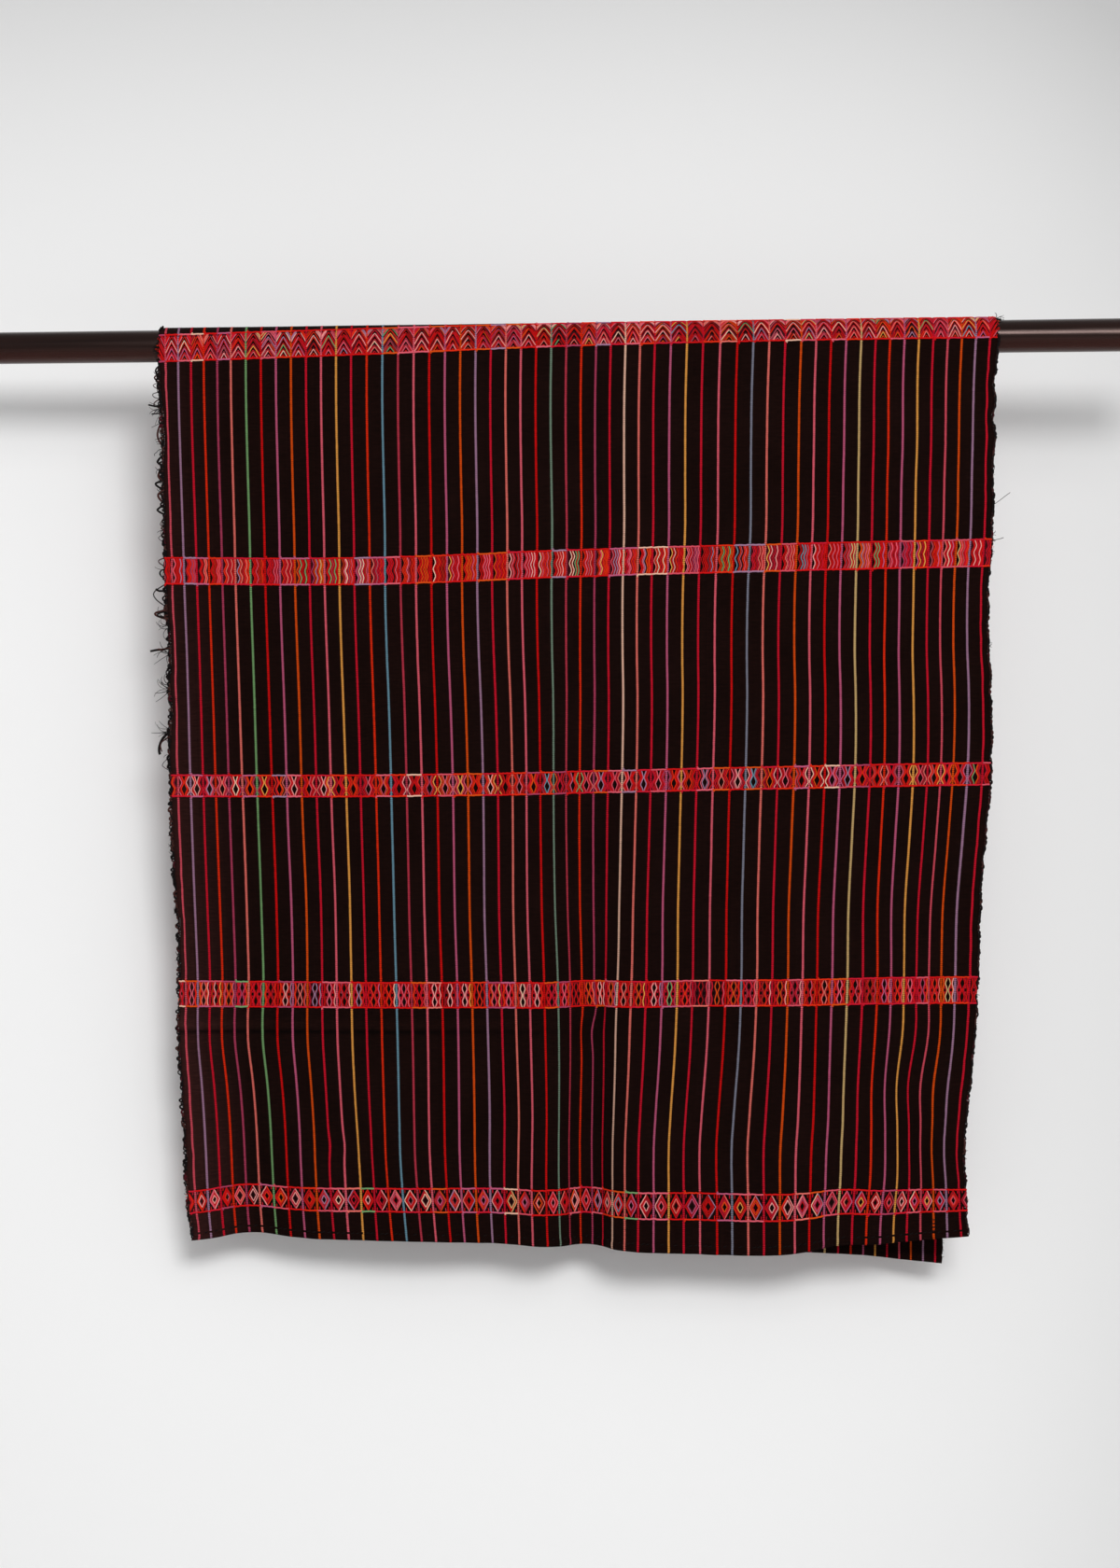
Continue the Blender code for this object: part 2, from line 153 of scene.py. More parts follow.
FRONT_TABLE = hanging_table(FRONT_EDGES, FRONT_FOLDS, FRONT_FALL)
BACK_TABLE = hanging_table(BACK_EDGES, BACK_FOLDS, BACK_FALL)
print("front hangs between x", FRONT_TABLE[0].min().round(3), "and", FRONT_TABLE[0].max().round(3))

# %% [markdown]
# ## Small creases
#
# A cloth that has been stored folded keeps small marks. Each row below pushes the threads sideways and
# back round one spot, and a few long faint waves run through the whole cloth, so that it isn't ironed.

# %% Creases and faint waves
CREASES = table(
    "across fall reach_across reach_fall sideways back",
    (467, 712, 10, 12, 3, 1.5), (463, 738, 10, 12, -2, 1), (75, 740, 55, 28, -3.6, 0.8),
    (130, 734, 110, 4, 0, 1.8), (20, 300, 20, 110, 1, -1.5), (832, 735, 22, 20, 2.2, -1.5),
    (840, 795, 22, 20, -2.2, 2), (166, 858, 10, 10, 2, 1), (610, 560, 50, 100, 1.2, 2),
    (300, 420, 60, 120, -1.2, 1.8), (700, 330, 60, 90, -1, -2),
    # The trough draws the threads to the left at half height, and the raised corner to the right.
    (445, 480, 35, 100, -5.5, 0), (620, 480, 80, 90, -5.5, 0), (490, 730, 25, 55, -3.2, 0),
    (863, 560, 16, 130, -3.5, 0), (790, 290, 35, 45, 2.5, 0), (800, 90, 50, 50, 2, 0),
    (800, 866, 36, 42, 9.2, 0), (722, 842, 35, 50, 5.2, 0), (785, 710, 26, 80, 4, 0),
    (120, 862, 85, 55, 3.6, 0), (192, 885, 14, 45, 2.2, 0), (372, 832, 36, 45, 3.2, 0),
    (160, 600, 50, 50, 1.8, 0), (785, -1020, 45, 45, 5, 0))
WAY_OVER_ROD = 0.059
FREE_FROM = 0.03
FULLY_FREE_AFTER = 0.10
wave_rng = np.random.default_rng(11)
WAVES = wave_rng.uniform([6, -5, 0, 0.00010], [38, 5, 2 * math.pi, 0.00034], (14, 4))


def crease_shift(across, fall):
    """How far (sideways, back) the creases and waves move each place. The cloth lies plain on the rod."""
    sideways, back = np.zeros_like(across), np.zeros_like(across)
    for crease in CREASES:
        one = (across - crease.across) / crease.reach_across
        other = (fall - crease.fall) / crease.reach_fall
        share = np.exp(-0.5 * (one**2 + other**2))
        sideways += crease.sideways * share
        back += crease.back * share
    for turns_across, turns_down, start, height in WAVES:
        back += height * np.sin(2 * math.pi * (turns_across * across + turns_down * fall) + start)
    below_rod = np.maximum(fall, -fall - WAY_OVER_ROD)
    free = np.clip((below_rod - FREE_FROM) / FULLY_FREE_AFTER, 0.0, 1.0)
    return sideways * free, back * free


# %% Any place on the cloth, and the way it faces
def arc_radius(x):
    """Radius of the cloth's middle surface where it lies on the rod."""
    rod_radius = ROD_RADIUS_LEFT + (ROD_RADIUS_RIGHT - ROD_RADIUS_LEFT) * (x / ROD_LENGTH + 0.5)
    return rod_radius + ROD_CLEARANCE + CLOTH_THICKNESS / 2


def look_up(table, across, drop, hem):
    """Reads a hanging table between its grid points."""
    row = np.clip(drop / hem, 0.0, 1.0) * (table.shape[1] - 1)
    column = np.clip(across / CLOTH_WIDTH, 0.0, 1.0) * (table.shape[2] - 1)
    i = np.minimum(row.astype(int), table.shape[1] - 2)
    j = np.minimum(column.astype(int), table.shape[2] - 2)
    p, q = row - i, column - j
    upper = table[:, i, j] * (1 - q) + table[:, i, j + 1] * q
    lower = table[:, i + 1, j] * (1 - q) + table[:, i + 1, j + 1] * q
    return upper * (1 - p) + lower * p


def middle_surface(across, fall):
    """Points of the cloth's middle surface, one row (x, y, z) a place."""
    tilt = math.tan(ROD_TILT)
    flat_x = TOP_LEFT_X + (TOP_RIGHT_X - TOP_LEFT_X) * across / CLOTH_WIDTH
    radius = arc_radius(flat_x)
    drop = fall + weft_drop(across, fall, FRONT_WEFTS)
    x, depth, lift = look_up(FRONT_TABLE, across, drop, FRONT_FALL)
    front = np.array([x, depth - arc_radius(x), x * tilt - drop + lift])
    turn = np.clip(-drop / radius, 0.0, math.pi)
    over = np.array([flat_x, -radius * np.cos(turn), flat_x * tilt + radius * np.sin(turn)])
    below = np.maximum(-drop - math.pi * radius, 0.0)
    lean = weft_drop(across, below, BACK_WEFTS) - weft_drop(across, np.zeros_like(below), BACK_WEFTS)
    behind = below * (1.0 + lean / BACK_FALL)
    x, depth, lift = look_up(BACK_TABLE, across, behind, BACK_FALL)
    back = np.array([x, arc_radius(x) + depth + BACK_DRIFT * behind / BACK_FALL, x * tilt - behind])
    points = np.where(drop >= 0.0, front, np.where(below > 0.0, back, over))
    sideways, pushed = crease_shift(across, fall)
    points[0] += sideways
    points[1] += pushed
    return points.T


def surface(across, fall):
    """The middle surface's points and the unit normals on its outer side, which is the side one sees."""
    across, fall = (np.asarray(a, float).ravel() for a in np.broadcast_arrays(across, fall))
    step = 0.0005
    inside = np.clip(across, step, CLOTH_WIDTH - step)
    along_weft = middle_surface(inside + step, fall) - middle_surface(inside - step, fall)
    along_warp = middle_surface(inside, fall + step) - middle_surface(inside, fall - step)
    outward = np.cross(along_warp, along_weft)
    outward /= np.linalg.norm(outward, axis=1)[:, None]
    return middle_surface(across, fall), outward


BACK_HEM = -(math.pi * arc_radius(0.0) + BACK_FALL)
flat_length = FRONT_FALL - BACK_HEM
print(f"the flat cloth is {CLOTH_WIDTH:.3f} m wide and {flat_length:.3f} m long")

# %% [markdown]
# ## The stripes
#
# The warp decides the stripes before the first weft goes in. Reading the warp from left to right gives
# the order of the dyes, and the spacing changes a little where the weaver drew the threads closer.

# %% Dyes of the yarns
DYES = {
    "crimson": (200, 18, 42), "red": (203, 12, 13), "vermilion": (220, 42, 11), "orange": (215, 75, 13),
    "gold": (225, 152, 70), "cream": (232, 182, 158), "pink": (222, 92, 108), "rose": (210, 76, 92),
    "salmon": (224, 108, 98), "plum": (168, 58, 88), "orchid": (190, 86, 120), "lilac": (160, 118, 146),
    "sky": (104, 142, 160), "slate": (126, 126, 142), "green": (114, 156, 102), "jade": (112, 133, 115),
    "lime": (204, 168, 112), "raspberry": (180, 52, 70), "blush": (232, 152, 146), "wine": (72, 13, 25),
    "black": (16, 10, 10), "brown": (66, 36, 32),
}
# The same dyes on yarns that took less of them.
for name in ("crimson", "red", "vermilion", "rose", "pink", "raspberry"):
    DYES["paler_" + name] = tuple(round(0.76 * c + 6) for c in DYES[name])
DYE_NAMES = list(DYES)


def linear(rgb):
    """Turns a colour as seen on a screen, 0 to 255, into the light and alpha that a shader works with."""
    return [(c / 255 / 12.92) if c <= 10 else ((c / 255 + 0.055) / 1.055) ** 2.4 for c in rgb] + [1.0]


# %% The order and the spacing of the stripes
STRIPE_ORDER = (
    "rose lilac crimson vermilion plum salmon green red orchid orange crimson pink gold crimson "
    "vermilion sky raspberry pink red orchid orange lilac crimson salmon pink red jade raspberry "
    "vermilion plum crimson cream salmon crimson orchid gold crimson pink red slate salmon crimson "
    "orange pink red orchid lime crimson vermilion orchid gold crimson rose orange lilac crimson"
).split()
# How many spaces in a row are alike, and how wide each is in millimetres.
STRIPE_SPACES = (
    (3, 13.66), (2, 14.43), (8, 16.07), (6, 16.71), (2, 16.37), (7, 16.13), (5, 15.64),
    (3, 17.18), (2, 18.31), (4, 17.04), (4, 15.99), (6, 15.39), (3, 14.96),
)
stripe_spaces = [width / 1000 for count, width in STRIPE_SPACES for _ in range(count)]
FIRST_STRIPE = 0.0075
stripe_places = FIRST_STRIPE + np.concatenate([[0.0], np.cumsum(stripe_spaces)])
STRIPE_HALF = 0.0021
print(len(stripe_places), "stripes, the last", round(CLOTH_WIDTH - stripe_places[-1], 4), "m from the edge")

# %% Where the bands begin
Band = namedtuple("Band", "name top height motif")
FRONT_BANDS = (
    Band("band_on_rod", -0.0208, 0.0300, "roofs"),
    Band("band_second", 0.2240, 0.0300, "waves"),
    Band("band_third", 0.4590, 0.0245, "crossings"),
    Band("band_fourth", 0.6822, 0.0284, "net"),
    Band("band_fifth", 0.9048, 0.0280, "diamonds"),
)
# On the back the fall counts downwards from the rod, so each band's top is nearer the hem.
back_start = -math.pi * arc_radius(0.0)
BACK_BANDS = (
    Band("back_band_upper", back_start - 0.220 - 0.029, 0.0290, "waves"),
    Band("back_band_middle", back_start - 0.450 - 0.025, 0.0250, "crossings"),
    Band("back_band_lower", back_start - 0.680 - 0.027, 0.0270, "net"),
    Band("back_band_hem", back_start - 0.908 - 0.026, 0.0260, "diamonds"),
)

# %% [markdown]
# ## The woven sheet
#
# One closed mesh carries the whole cloth. Its columns follow the stripes, three to a stripe and one
# between, so that every stripe is a low rib, and its rows follow the wefts. Each point remembers where
# it is on the flat cloth, and the finish reads that, so the pattern hangs and folds with the threads.

# %% Columns and rows of the sheet
def sheet_columns():
    """Places across, with the height of the stripe's rib at each, in metres."""
    columns = [(0.0, 0.0), (0.0025, 0.0)]
    for number, place in enumerate(stripe_places):
        columns += [(place - STRIPE_HALF, 0.0), (place, 0.00022), (place + STRIPE_HALF, 0.0)]
        if number < len(stripe_places) - 1:
            columns.append(((place + stripe_places[number + 1]) / 2, 0.0))
    columns += [(CLOTH_WIDTH - 0.0025, 0.0), (CLOTH_WIDTH, 0.0)]
    return np.array(columns).T


def sheet_rows():
    """Falls of the rows, from the back's hem up, over the rod and down to the front's hem."""
    hem = np.array([0.0, 0.0022, 0.0065, HEM_DEPTH, HEM_DEPTH + 0.0012])
    front = np.linspace(FRONT_FALL - HEM_DEPTH - 0.006, 0.035, 116)
    over = np.linspace(0.030, back_start - 0.030, 26)
    behind = np.linspace(back_start - 0.040, BACK_HEM + HEM_DEPTH + 0.006, 50)
    return np.sort(np.concatenate([FRONT_FALL - hem, front, over, behind, BACK_HEM + hem]))


columns, ribs = sheet_columns()
rows = sheet_rows()
print(len(rows), "rows by", len(columns), "columns")

# %% Ragged side edges
edge_rng = np.random.default_rng(5)
edge_noise = edge_rng.normal(0.0, 0.0004, (2, len(rows)))
edge_noise += 0.0010 * np.sin(rows * np.array([[118.0], [142.0]])) * np.sin(rows * 37.0 + 0.6)
# Where an edge is worn back. A shift to the right is inwards on the left side, outwards on the right.
WORN = "fall reach shift"
WORN_LEFT = table(WORN, (52, 30, 2.6), (100, 45, 4), (200, 60, 3), (310, 45, 3.5), (370, 50, 2.2),
                  (395, 18, 1.8), (605, 30, 2.2), (655, 45, 3.2), (955, 10, 2.2))
WORN_RIGHT = table(WORN, (58, 9, -4), (93, 9, -2.6), (113, 7, 1.8), (140, 10, -1.2), (300, 160, -1.8),
                   (560, 80, -1.4), (760, 120, -1.2), (920, 60, -3))
for one_side, worn_places in zip(edge_noise, (WORN_LEFT, WORN_RIGHT)):
    for worn in worn_places:
        one_side += worn.shift * np.exp(-(((rows - worn.fall) / worn.reach) ** 2))
RAGGED_REACH = 0.006


def ragged(across, fall_index):
    """Sideways shift of the outermost columns, where the side edges aren't straight."""
    left = np.exp(-across / RAGGED_REACH) * edge_noise[0][fall_index]
    right = np.exp(-(CLOTH_WIDTH - across) / RAGGED_REACH) * edge_noise[1][fall_index]
    return left + right


# %% Build the sheet
def stripe_distance(across):
    """How far each place is from the middle of its nearest stripe, and that stripe's number."""
    gaps = np.abs(np.asarray(across)[:, None] - stripe_places[None, :])
    return gaps.min(axis=1), gaps.argmin(axis=1)


def put_in_scene(name, data):
    obj = bpy.data.objects.new(name, data)
    bpy.context.scene.collection.objects.link(obj)
    return obj


def new_object(name, points, faces=(), edges=()):
    """Puts a mesh made of these points, faces and edges into the scene."""
    mesh = bpy.data.meshes.new(name)
    mesh.from_pydata(np.asarray(points, float).tolist(), edges, faces)
    return put_in_scene(name, mesh)


def closed_sheet(name):
    """Makes the sheet's outer and inner side and joins them round the rim."""
    fall, across = (grid.ravel() for grid in np.meshgrid(rows, columns, indexing="ij"))
    points, outward = surface(across, fall)
    points[:, 0] += ragged(across, np.repeat(np.arange(len(rows)), len(columns)))
    to_hem = np.minimum(FRONT_FALL - fall, fall - BACK_HEM)
    to_side = np.minimum(across, CLOTH_WIDTH - across)
    thick = np.where(to_hem < HEM_DEPTH, HEM_THICKNESS, CLOTH_THICKNESS)
    thick = thick * np.where(to_hem < 0.001, 0.45, 1.0) * np.where(to_side < 0.001, 0.40, 1.0)
    outer = points + outward * (thick / 2 + np.tile(ribs, len(rows)))[:, None]
    inner = points - outward * (thick / 2)[:, None]
    count = len(points)
    at = np.arange(count).reshape(len(rows), len(columns))
    quads = np.stack([at[:-1, :-1], at[1:, :-1], at[1:, 1:], at[:-1, 1:]], axis=-1).reshape(-1, 4)
    faces = [quads, quads[:, ::-1] + count]
    for edge, way in ((at[:, 0], -1), (at[:, -1], 1), (at[0], 1), (at[-1], -1)):
        one, other = edge[:-1], edge[1:]
        faces.append(np.stack([one, *[other, other + count, one + count][::way]], axis=1))
    obj = new_object(name, np.concatenate([outer, inner]), np.concatenate(faces).tolist())
    obj.data.polygons.foreach_set("use_smooth", np.ones(len(obj.data.polygons), bool))
    return obj, np.tile(across, 2), np.tile(fall, 2)


cloth, cloth_across, cloth_fall = closed_sheet("woven_cloth")
print("woven sheet:", len(cloth.data.polygons), "faces")

# %% Let every point remember its place on the flat cloth
def store_numbers(mesh, name, numbers):
    attribute = mesh.attributes.new(name, "FLOAT", "POINT")
    attribute.data.foreach_set("value", np.asarray(numbers, np.float32))


beside, stripe_number = stripe_distance(cloth_across)
for name, numbers in (("across", cloth_across), ("fall", cloth_fall), ("beside", beside)):
    store_numbers(cloth.data, name, numbers)
stripe_colours = np.array([linear(DYES[name]) for name in STRIPE_ORDER], np.float32)
stripe_attribute = cloth.data.attributes.new("stripe", "FLOAT_COLOR", "POINT")
stripe_attribute.data.foreach_set("color", stripe_colours[stripe_number].ravel())

# %% [markdown]
# The picture maps that an export bakes follow the sheet's own UV map. Most of what there is to see lies
# in the stripes, so the map gives each stripe more room than the black ground beside it.

# %% A UV map that gives the stripes more room
def widened(across):
    """Place across on the map, 0 to 1, with the stripes drawn three times as wide as the ground."""
    samples_a_metre = 10000
    fine = np.linspace(0.0, CLOTH_WIDTH, round(CLOTH_WIDTH * samples_a_metre) + 1)
    room = np.where(stripe_distance(fine)[0] < STRIPE_HALF, 3.0, 1.0)
    reached = np.cumsum(room)
    return np.interp(across, fine, (reached - reached[0]) / (reached[-1] - reached[0]))


corner_point = np.zeros(len(cloth.data.loops), np.int32)
cloth.data.loops.foreach_get("vertex_index", corner_point)
map_across = widened(cloth_across)[corner_point]
map_fall = ((cloth_fall - BACK_HEM) / flat_length)[corner_point]
uv_layer = cloth.data.uv_layers.new(name="OFBake")
uv_layer.uv.foreach_set("vector", np.stack([map_across, map_fall], axis=1).astype(np.float32).ravel())

# %% [markdown]
# ## The cotton's finish
#
# Handspun black cotton is dull and slightly uneven. Near its lower left edge it is painted browner, as
# painted light where that edge turns towards the lamp.
# A stripe is a few plied warp threads that the black weft crosses, so it looks like a row of dots with
# a notched edge. Both come from the place on the flat cloth and a little noise.
#
# A finish is a tree of nodes, and most of them are sums. The small class below lets a sum be written
# as a formula: each plus, minus, times or divide adds one Math node, and `abs` adds one too.

# %% Sums and products of what nodes give out
class Term:
    """The output of a node. Arithmetic with it adds Math nodes to its tree."""

    def __init__(self, socket):
        self.socket = socket

    def __add__(self, other):
        return maths("ADD", self, other)

    def __sub__(self, other):
        return maths("SUBTRACT", self, other)

    def __rsub__(self, other):
        return maths("SUBTRACT", other, self)

    def __mul__(self, other):
        return maths("MULTIPLY", self, other)

    def __truediv__(self, other):
        return maths("DIVIDE", self, other)

    def __abs__(self):
        return maths("ABSOLUTE", self)


def tree_of(*terms):
    return next(term.socket.id_data for term in terms if isinstance(term, Term))


def plug(socket, term):
    """Links a socket to a term, or sets its number or colour."""
    if isinstance(term, Term):
        socket.id_data.links.new(term.socket, socket)
    else:
        socket.default_value = term


def add_node(tree, kind, inputs=None, **settings):
    """A node with these settings, and with numbers, colours or terms at its named or counted inputs."""
    node = tree.nodes.new(kind)
    for name, setting in settings.items():
        setattr(node, name, setting)
    for name, term in (inputs or {}).items():
        plug(node.inputs[name], term)
    return node


def maths(operation, *terms, clamp=False):
    settings = {"operation": operation, "use_clamp": clamp}
    return Term(add_node(tree_of(*terms), "ShaderNodeMath", dict(enumerate(terms)), **settings).outputs[0])


def clamped(term):
    return maths("ADD", term, 0.0, clamp=True)


# %% More helpers for building finishes
def mixed(share, one, other, blend="MIX"):
    """Mixes two colours: all of the first where share is 0, all of the other where it is 1."""
    # A Mix node has sockets for every kind of value. Those of its colours are 6 and 7 in, and 2 out.
    tree, inputs = tree_of(share, one, other), {0: share, 6: one, 7: other}
    return Term(add_node(tree, "ShaderNodeMix", inputs, data_type="RGBA", blend_type=blend).outputs[2])


def stored(tree, name, output="Fac"):
    return Term(add_node(tree, "ShaderNodeAttribute", attribute_name=name).outputs[output])


def object_place(tree):
    return Term(add_node(tree, "ShaderNodeTexCoord").outputs["Object"])


def noise(vector, scale, detail=2.0):
    inputs = {"Vector": vector, "Scale": scale, "Detail": detail}
    return Term(add_node(tree_of(vector), "ShaderNodeTexNoise", inputs).outputs["Fac"])


def vector_of(x, y, z=0.0):
    return Term(add_node(tree_of(x, y, z), "ShaderNodeCombineXYZ", {0: x, 1: y, 2: z}).outputs[0])


def parts_of(vector):
    return [Term(part) for part in add_node(tree_of(vector), "ShaderNodeSeparateXYZ", {0: vector}).outputs]


def dimmed(colour, brightness):
    return mixed(1.0, colour, vector_of(brightness, brightness, brightness), "MULTIPLY")


def zigzag(value, period):
    """A triangle wave from 0 to 1 that repeats every period."""
    return abs(maths("FRACT", value / period) - 0.5) * 2.0


def near(value, middle, reach):
    """1 where the value is at the middle, fading to 0 at this reach from it."""
    return clamped(1.0 - abs(value - middle) / reach)


def new_finish(name, roughness, specular=0.12):
    """A material and its node tree, with a plain Principled shader to build on."""
    material = bpy.data.materials.new(name)
    material.use_nodes = True
    shader = material.node_tree.nodes["Principled BSDF"]
    plug(shader.inputs["Roughness"], roughness)
    plug(shader.inputs["Specular IOR Level"], specular)
    return material, material.node_tree, shader


def add_bump(shader, height, distance, strength=1.0):
    inputs = {"Height": height, "Distance": distance, "Strength": strength}
    bump = add_node(shader.id_data, "ShaderNodeBump", inputs)
    plug(shader.inputs["Normal"], Term(bump.outputs["Normal"]))


# %% The woven cotton
def woven_cotton():
    """The ground and the stripes, in millimetres on the flat cloth."""
    material, tree, shader = new_finish("striped_black_cotton", 0.95, 0.05)
    across, fall, beside_mm = (stored(tree, name) * 1000.0 for name in ("across", "fall", "beside"))
    flat = vector_of(across, fall)
    slub = noise(vector_of(across * 0.16, fall), 0.55, 3.0)
    # The black ground, painted browner towards the lower left as painted light on the edge that turns towards
    # the lamp, and in faint clouds of its own tone.
    painted_light_lower_left = clamped(1.0 - across / 75.0) * clamped(fall * 0.0009 + 0.25)
    ground = mixed(painted_light_lower_left + noise(flat, 0.016, 3.0) * 0.30, linear((14, 4, 2)), linear((48, 24, 22)))
    grain = slub * 1.1 + noise(vector_of(across, 0.0), 0.35) * 0.5
    # Painted light at an old fold in the left half: a painted shaded line in the crease, with a painted
    # highlight on the ridge above it.
    fold = near(fall, 728.0, 8.0) * 0.45 - near(fall, 736.0, 4.0) * 0.70
    ground = dimmed(ground, grain * (fold * clamped(across * -0.005 + 2.3) + 1.0))
    # A stripe is a row of dots: its edge is notched and each crossing weft darkens it.
    dots = zigzag(fall, 2.1)
    edge = dots * 0.65 + 0.85 + (noise(flat, 0.4) - 0.5) * 0.7
    stripe_mask = clamped((edge - beside_mm) / 0.25)
    # Towards both corners the hem's stitches cut through the stripes.
    off_stitch = maths("GREATER_THAN", abs(fall - (FRONT_FALL - STITCH_ABOVE_HEM) * 1000), 1.1)
    far_from_corners = maths("LESS_THAN", abs(across - 480.0), 290.0)
    stripe_mask = stripe_mask * maths("MAXIMUM", off_stitch, far_from_corners)
    tone = clamped(dots * 0.75 + 0.45) * (slub * 0.7 + 0.55) * 0.95
    stripe = dimmed(stored(tree, "stripe", "Color"), tone)
    plug(shader.inputs["Base Color"], mixed(stripe_mask, ground, stripe))
    weave = zigzag(fall, 1.05) + zigzag(across, 0.85)
    add_bump(shader, weave * 0.35 + slub, 0.00035)
    return material


cloth.data.materials.append(woven_cotton())

# %% [markdown]
# ## Yarns that follow a path
#
# Every yarn in the bands, every stitch and every loose thread is a round cord along a line. The lines
# are drawn first as bare edges. A node tree then turns each line into a curve, sweeps a small ring
# along it and gives it the finish of its dye. One tree serves all of them.

# %% The finishes of the dyed yarns
def dyed_yarn(name):
    """Soft cotton yarn in one dye, with the twist of its plies as a bump."""
    material, tree, shader = new_finish("yarn_" + name, 0.85)
    plug(shader.inputs["Base Color"], linear(DYES[name]))
    fibres = noise(object_place(tree), 900.0, 3.0)
    plug(shader.inputs["Roughness"], fibres * 0.25 + 0.70)
    add_bump(shader, fibres, 0.0004)
    return material


yarn_finishes = [dyed_yarn(name) for name in DYE_NAMES]

# %% The node tree that makes yarns out of lines
def yarn_tree():
    tree = bpy.data.node_groups.new("yarns_along_lines", "GeometryNodeTree")
    tree.interface.new_socket("Lines", in_out="INPUT", socket_type="NodeSocketGeometry")
    sides = tree.interface.new_socket("Sides", in_out="INPUT", socket_type="NodeSocketInt")
    sides.default_value = 5
    tree.interface.new_socket("Yarns", in_out="OUTPUT", socket_type="NodeSocketGeometry")

    def step(kind, inputs, **settings):
        return Term(add_node(tree, kind, inputs, **settings).outputs[0])

    lines, ring_sides = (Term(tree_input) for tree_input in add_node(tree, "NodeGroupInput").outputs[:2])
    curve = step("GeometryNodeMeshToCurve", {"Mesh": lines})
    ring = step("GeometryNodeCurvePrimitiveCircle", {"Radius": 1.0, "Resolution": ring_sides})
    thick = step("GeometryNodeInputNamedAttribute", {"Name": "thick"})
    swept = {"Curve": curve, "Profile Curve": ring, "Scale": thick, "Fill Caps": True}
    yarns = step("GeometryNodeRealizeInstances", {"Geometry": step("GeometryNodeCurveToMesh", swept)})
    dye = step("GeometryNodeInputNamedAttribute", {"Name": "dye"}, data_type="INT")
    for number, finish in enumerate(yarn_finishes):
        same = step("FunctionNodeCompare", {2: dye, 3: number}, data_type="INT", operation="EQUAL")
        painted = {"Geometry": yarns, "Selection": same, "Material": finish}
        yarns = step("GeometryNodeSetMaterial", painted)
    plug(add_node(tree, "NodeGroupOutput").inputs["Yarns"], yarns)
    return tree, sides.identifier


yarns_along_lines, sides_input = yarn_tree()

# %% From lines to a plain mesh of yarns
Line = namedtuple("Line", "points dye thick")


def make_yarns(name, lines, sides=5):
    """Sweeps every line into a yarn. points is (n, 3), dye a name, thick one radius or one a point."""
    counts = [len(line.points) for line in lines]
    starts = np.cumsum([0] + counts)
    edges = [(i, i + 1) for a, b in zip(starts, starts[1:]) for i in range(a, b - 1)]
    guide = new_object(name + "_lines", np.concatenate([line.points for line in lines]), edges=edges)
    thick = [np.broadcast_to(line.thick, count) for line, count in zip(lines, counts)]
    store_numbers(guide.data, "thick", np.concatenate(thick))
    dyes = np.repeat([DYE_NAMES.index(line.dye) for line in lines], counts).astype(np.int32)
    guide.data.attributes.new("dye", "INT", "POINT").data.foreach_set("value", dyes)
    modifier = guide.modifiers.new("yarns", "NODES")
    modifier.node_group = yarns_along_lines
    modifier[sides_input] = sides
    graph = bpy.context.evaluated_depsgraph_get()
    made = bpy.data.meshes.new_from_object(guide.evaluated_get(graph))
    bpy.data.objects.remove(guide)
    made.name = name
    made.polygons.foreach_set("use_smooth", np.ones(len(made.polygons), bool))
    obj = put_in_scene(name, made)
    triangles = sum(len(polygon.vertices) - 2 for polygon in made.polygons)
    print(f"{name}: {len(lines)} yarns, {triangles} triangles")
    return obj


# %% [markdown]
# ## The motifs of the bands
#
# Between two stripes the weaver works one small figure, and repeats it right across the cloth with
# other dyes. Each function below draws one cell in millimetres: `u` counts from the stripe on its left,
# `v` from the top of the band. A line also has a role, which picks its dye later.

# %% Drawing in a cell
Stroke = namedtuple("Stroke", "u v role")


def ways(*corners):
    """A line through the corners, with a point every half millimetre."""
    corners = np.array(corners, float)
    reached = np.concatenate([[0.0], np.cumsum(np.hypot(*np.diff(corners, axis=0).T))])
    at = np.linspace(0.0, reached[-1], max(3, round(reached[-1] * 2)))
    return np.interp(at, reached, corners[:, 0]), np.interp(at, reached, corners[:, 1])


def swing(v, *knots):
    """A rounded zigzag: knots are (share of the height, value)."""
    shares, values = zip(*knots)
    q = np.interp(v, shares, np.arange(len(shares)))
    i = np.minimum(q.astype(int), len(shares) - 2)
    p = q - i
    p = 0.65 * p + 0.35 * (3 * p**2 - 2 * p**3)
    values = np.array(values)
    return values[i] * (1 - p) + values[i + 1] * p


# %% Roofs: nested peaks, one above the other
ROOF_ROLES = ("bright", "wine", "light", "deep", "bright", "cell", "deep", "wine", "bright", "second", "deep")


def roofs(pitch, height, rng):
    """Peaks from the bottom up. Every third row leaves a dark point open under the peak above it.

    Above the highest peaks two roofs meet as a corner over a stripe.
    """
    half = pitch / 2 - 0.5
    reach = rng.uniform(10.5, 14.0)
    lowest = height - rng.uniform(3.0, 4.4)
    strokes = []
    for row in range(19):
        peak = lowest - row * 2.1
        for side, corner in ((-1, "around"), (1, "right_around")):
            role = ROOF_ROLES[row % len(ROOF_ROLES)]
            if peak < -1.5:
                # Rows above -6.5 mm lie over the rod's crest and take dark dyes as painted shade.
                role = corner if peak > -6.5 else ("wine", "deep", "wine")[row % 3]
            open_peak = 2.2 if row % 3 == 1 else 0.0
            top = (pitch / 2 + side * open_peak, peak + open_peak * reach / half)
            foot = (pitch / 2 + side * half, peak + reach)
            strokes.append(Stroke(*ways(top, foot), role))
    return strokes


# %% Waves: yarns that run down and swing to the right twice
WAVE_ROLES = (
    ("light", "deep", "bright", "cell", "deep", "bright", "second", "bright", "bright"),
    ("deep", "second", "bright", "second", "deep", "light", "bright", "light", "deep"),
    ("cell", "bright", "light", "bright", "deep", "bright", "light", "bright", "bright"),
    ("bright", "bright", "second", "light", "deep", "cell", "bright", "cell", "bright"),
    ("second", "bright", "light", "bright", "light", "deep", "cell", "bright", "bright"),
)


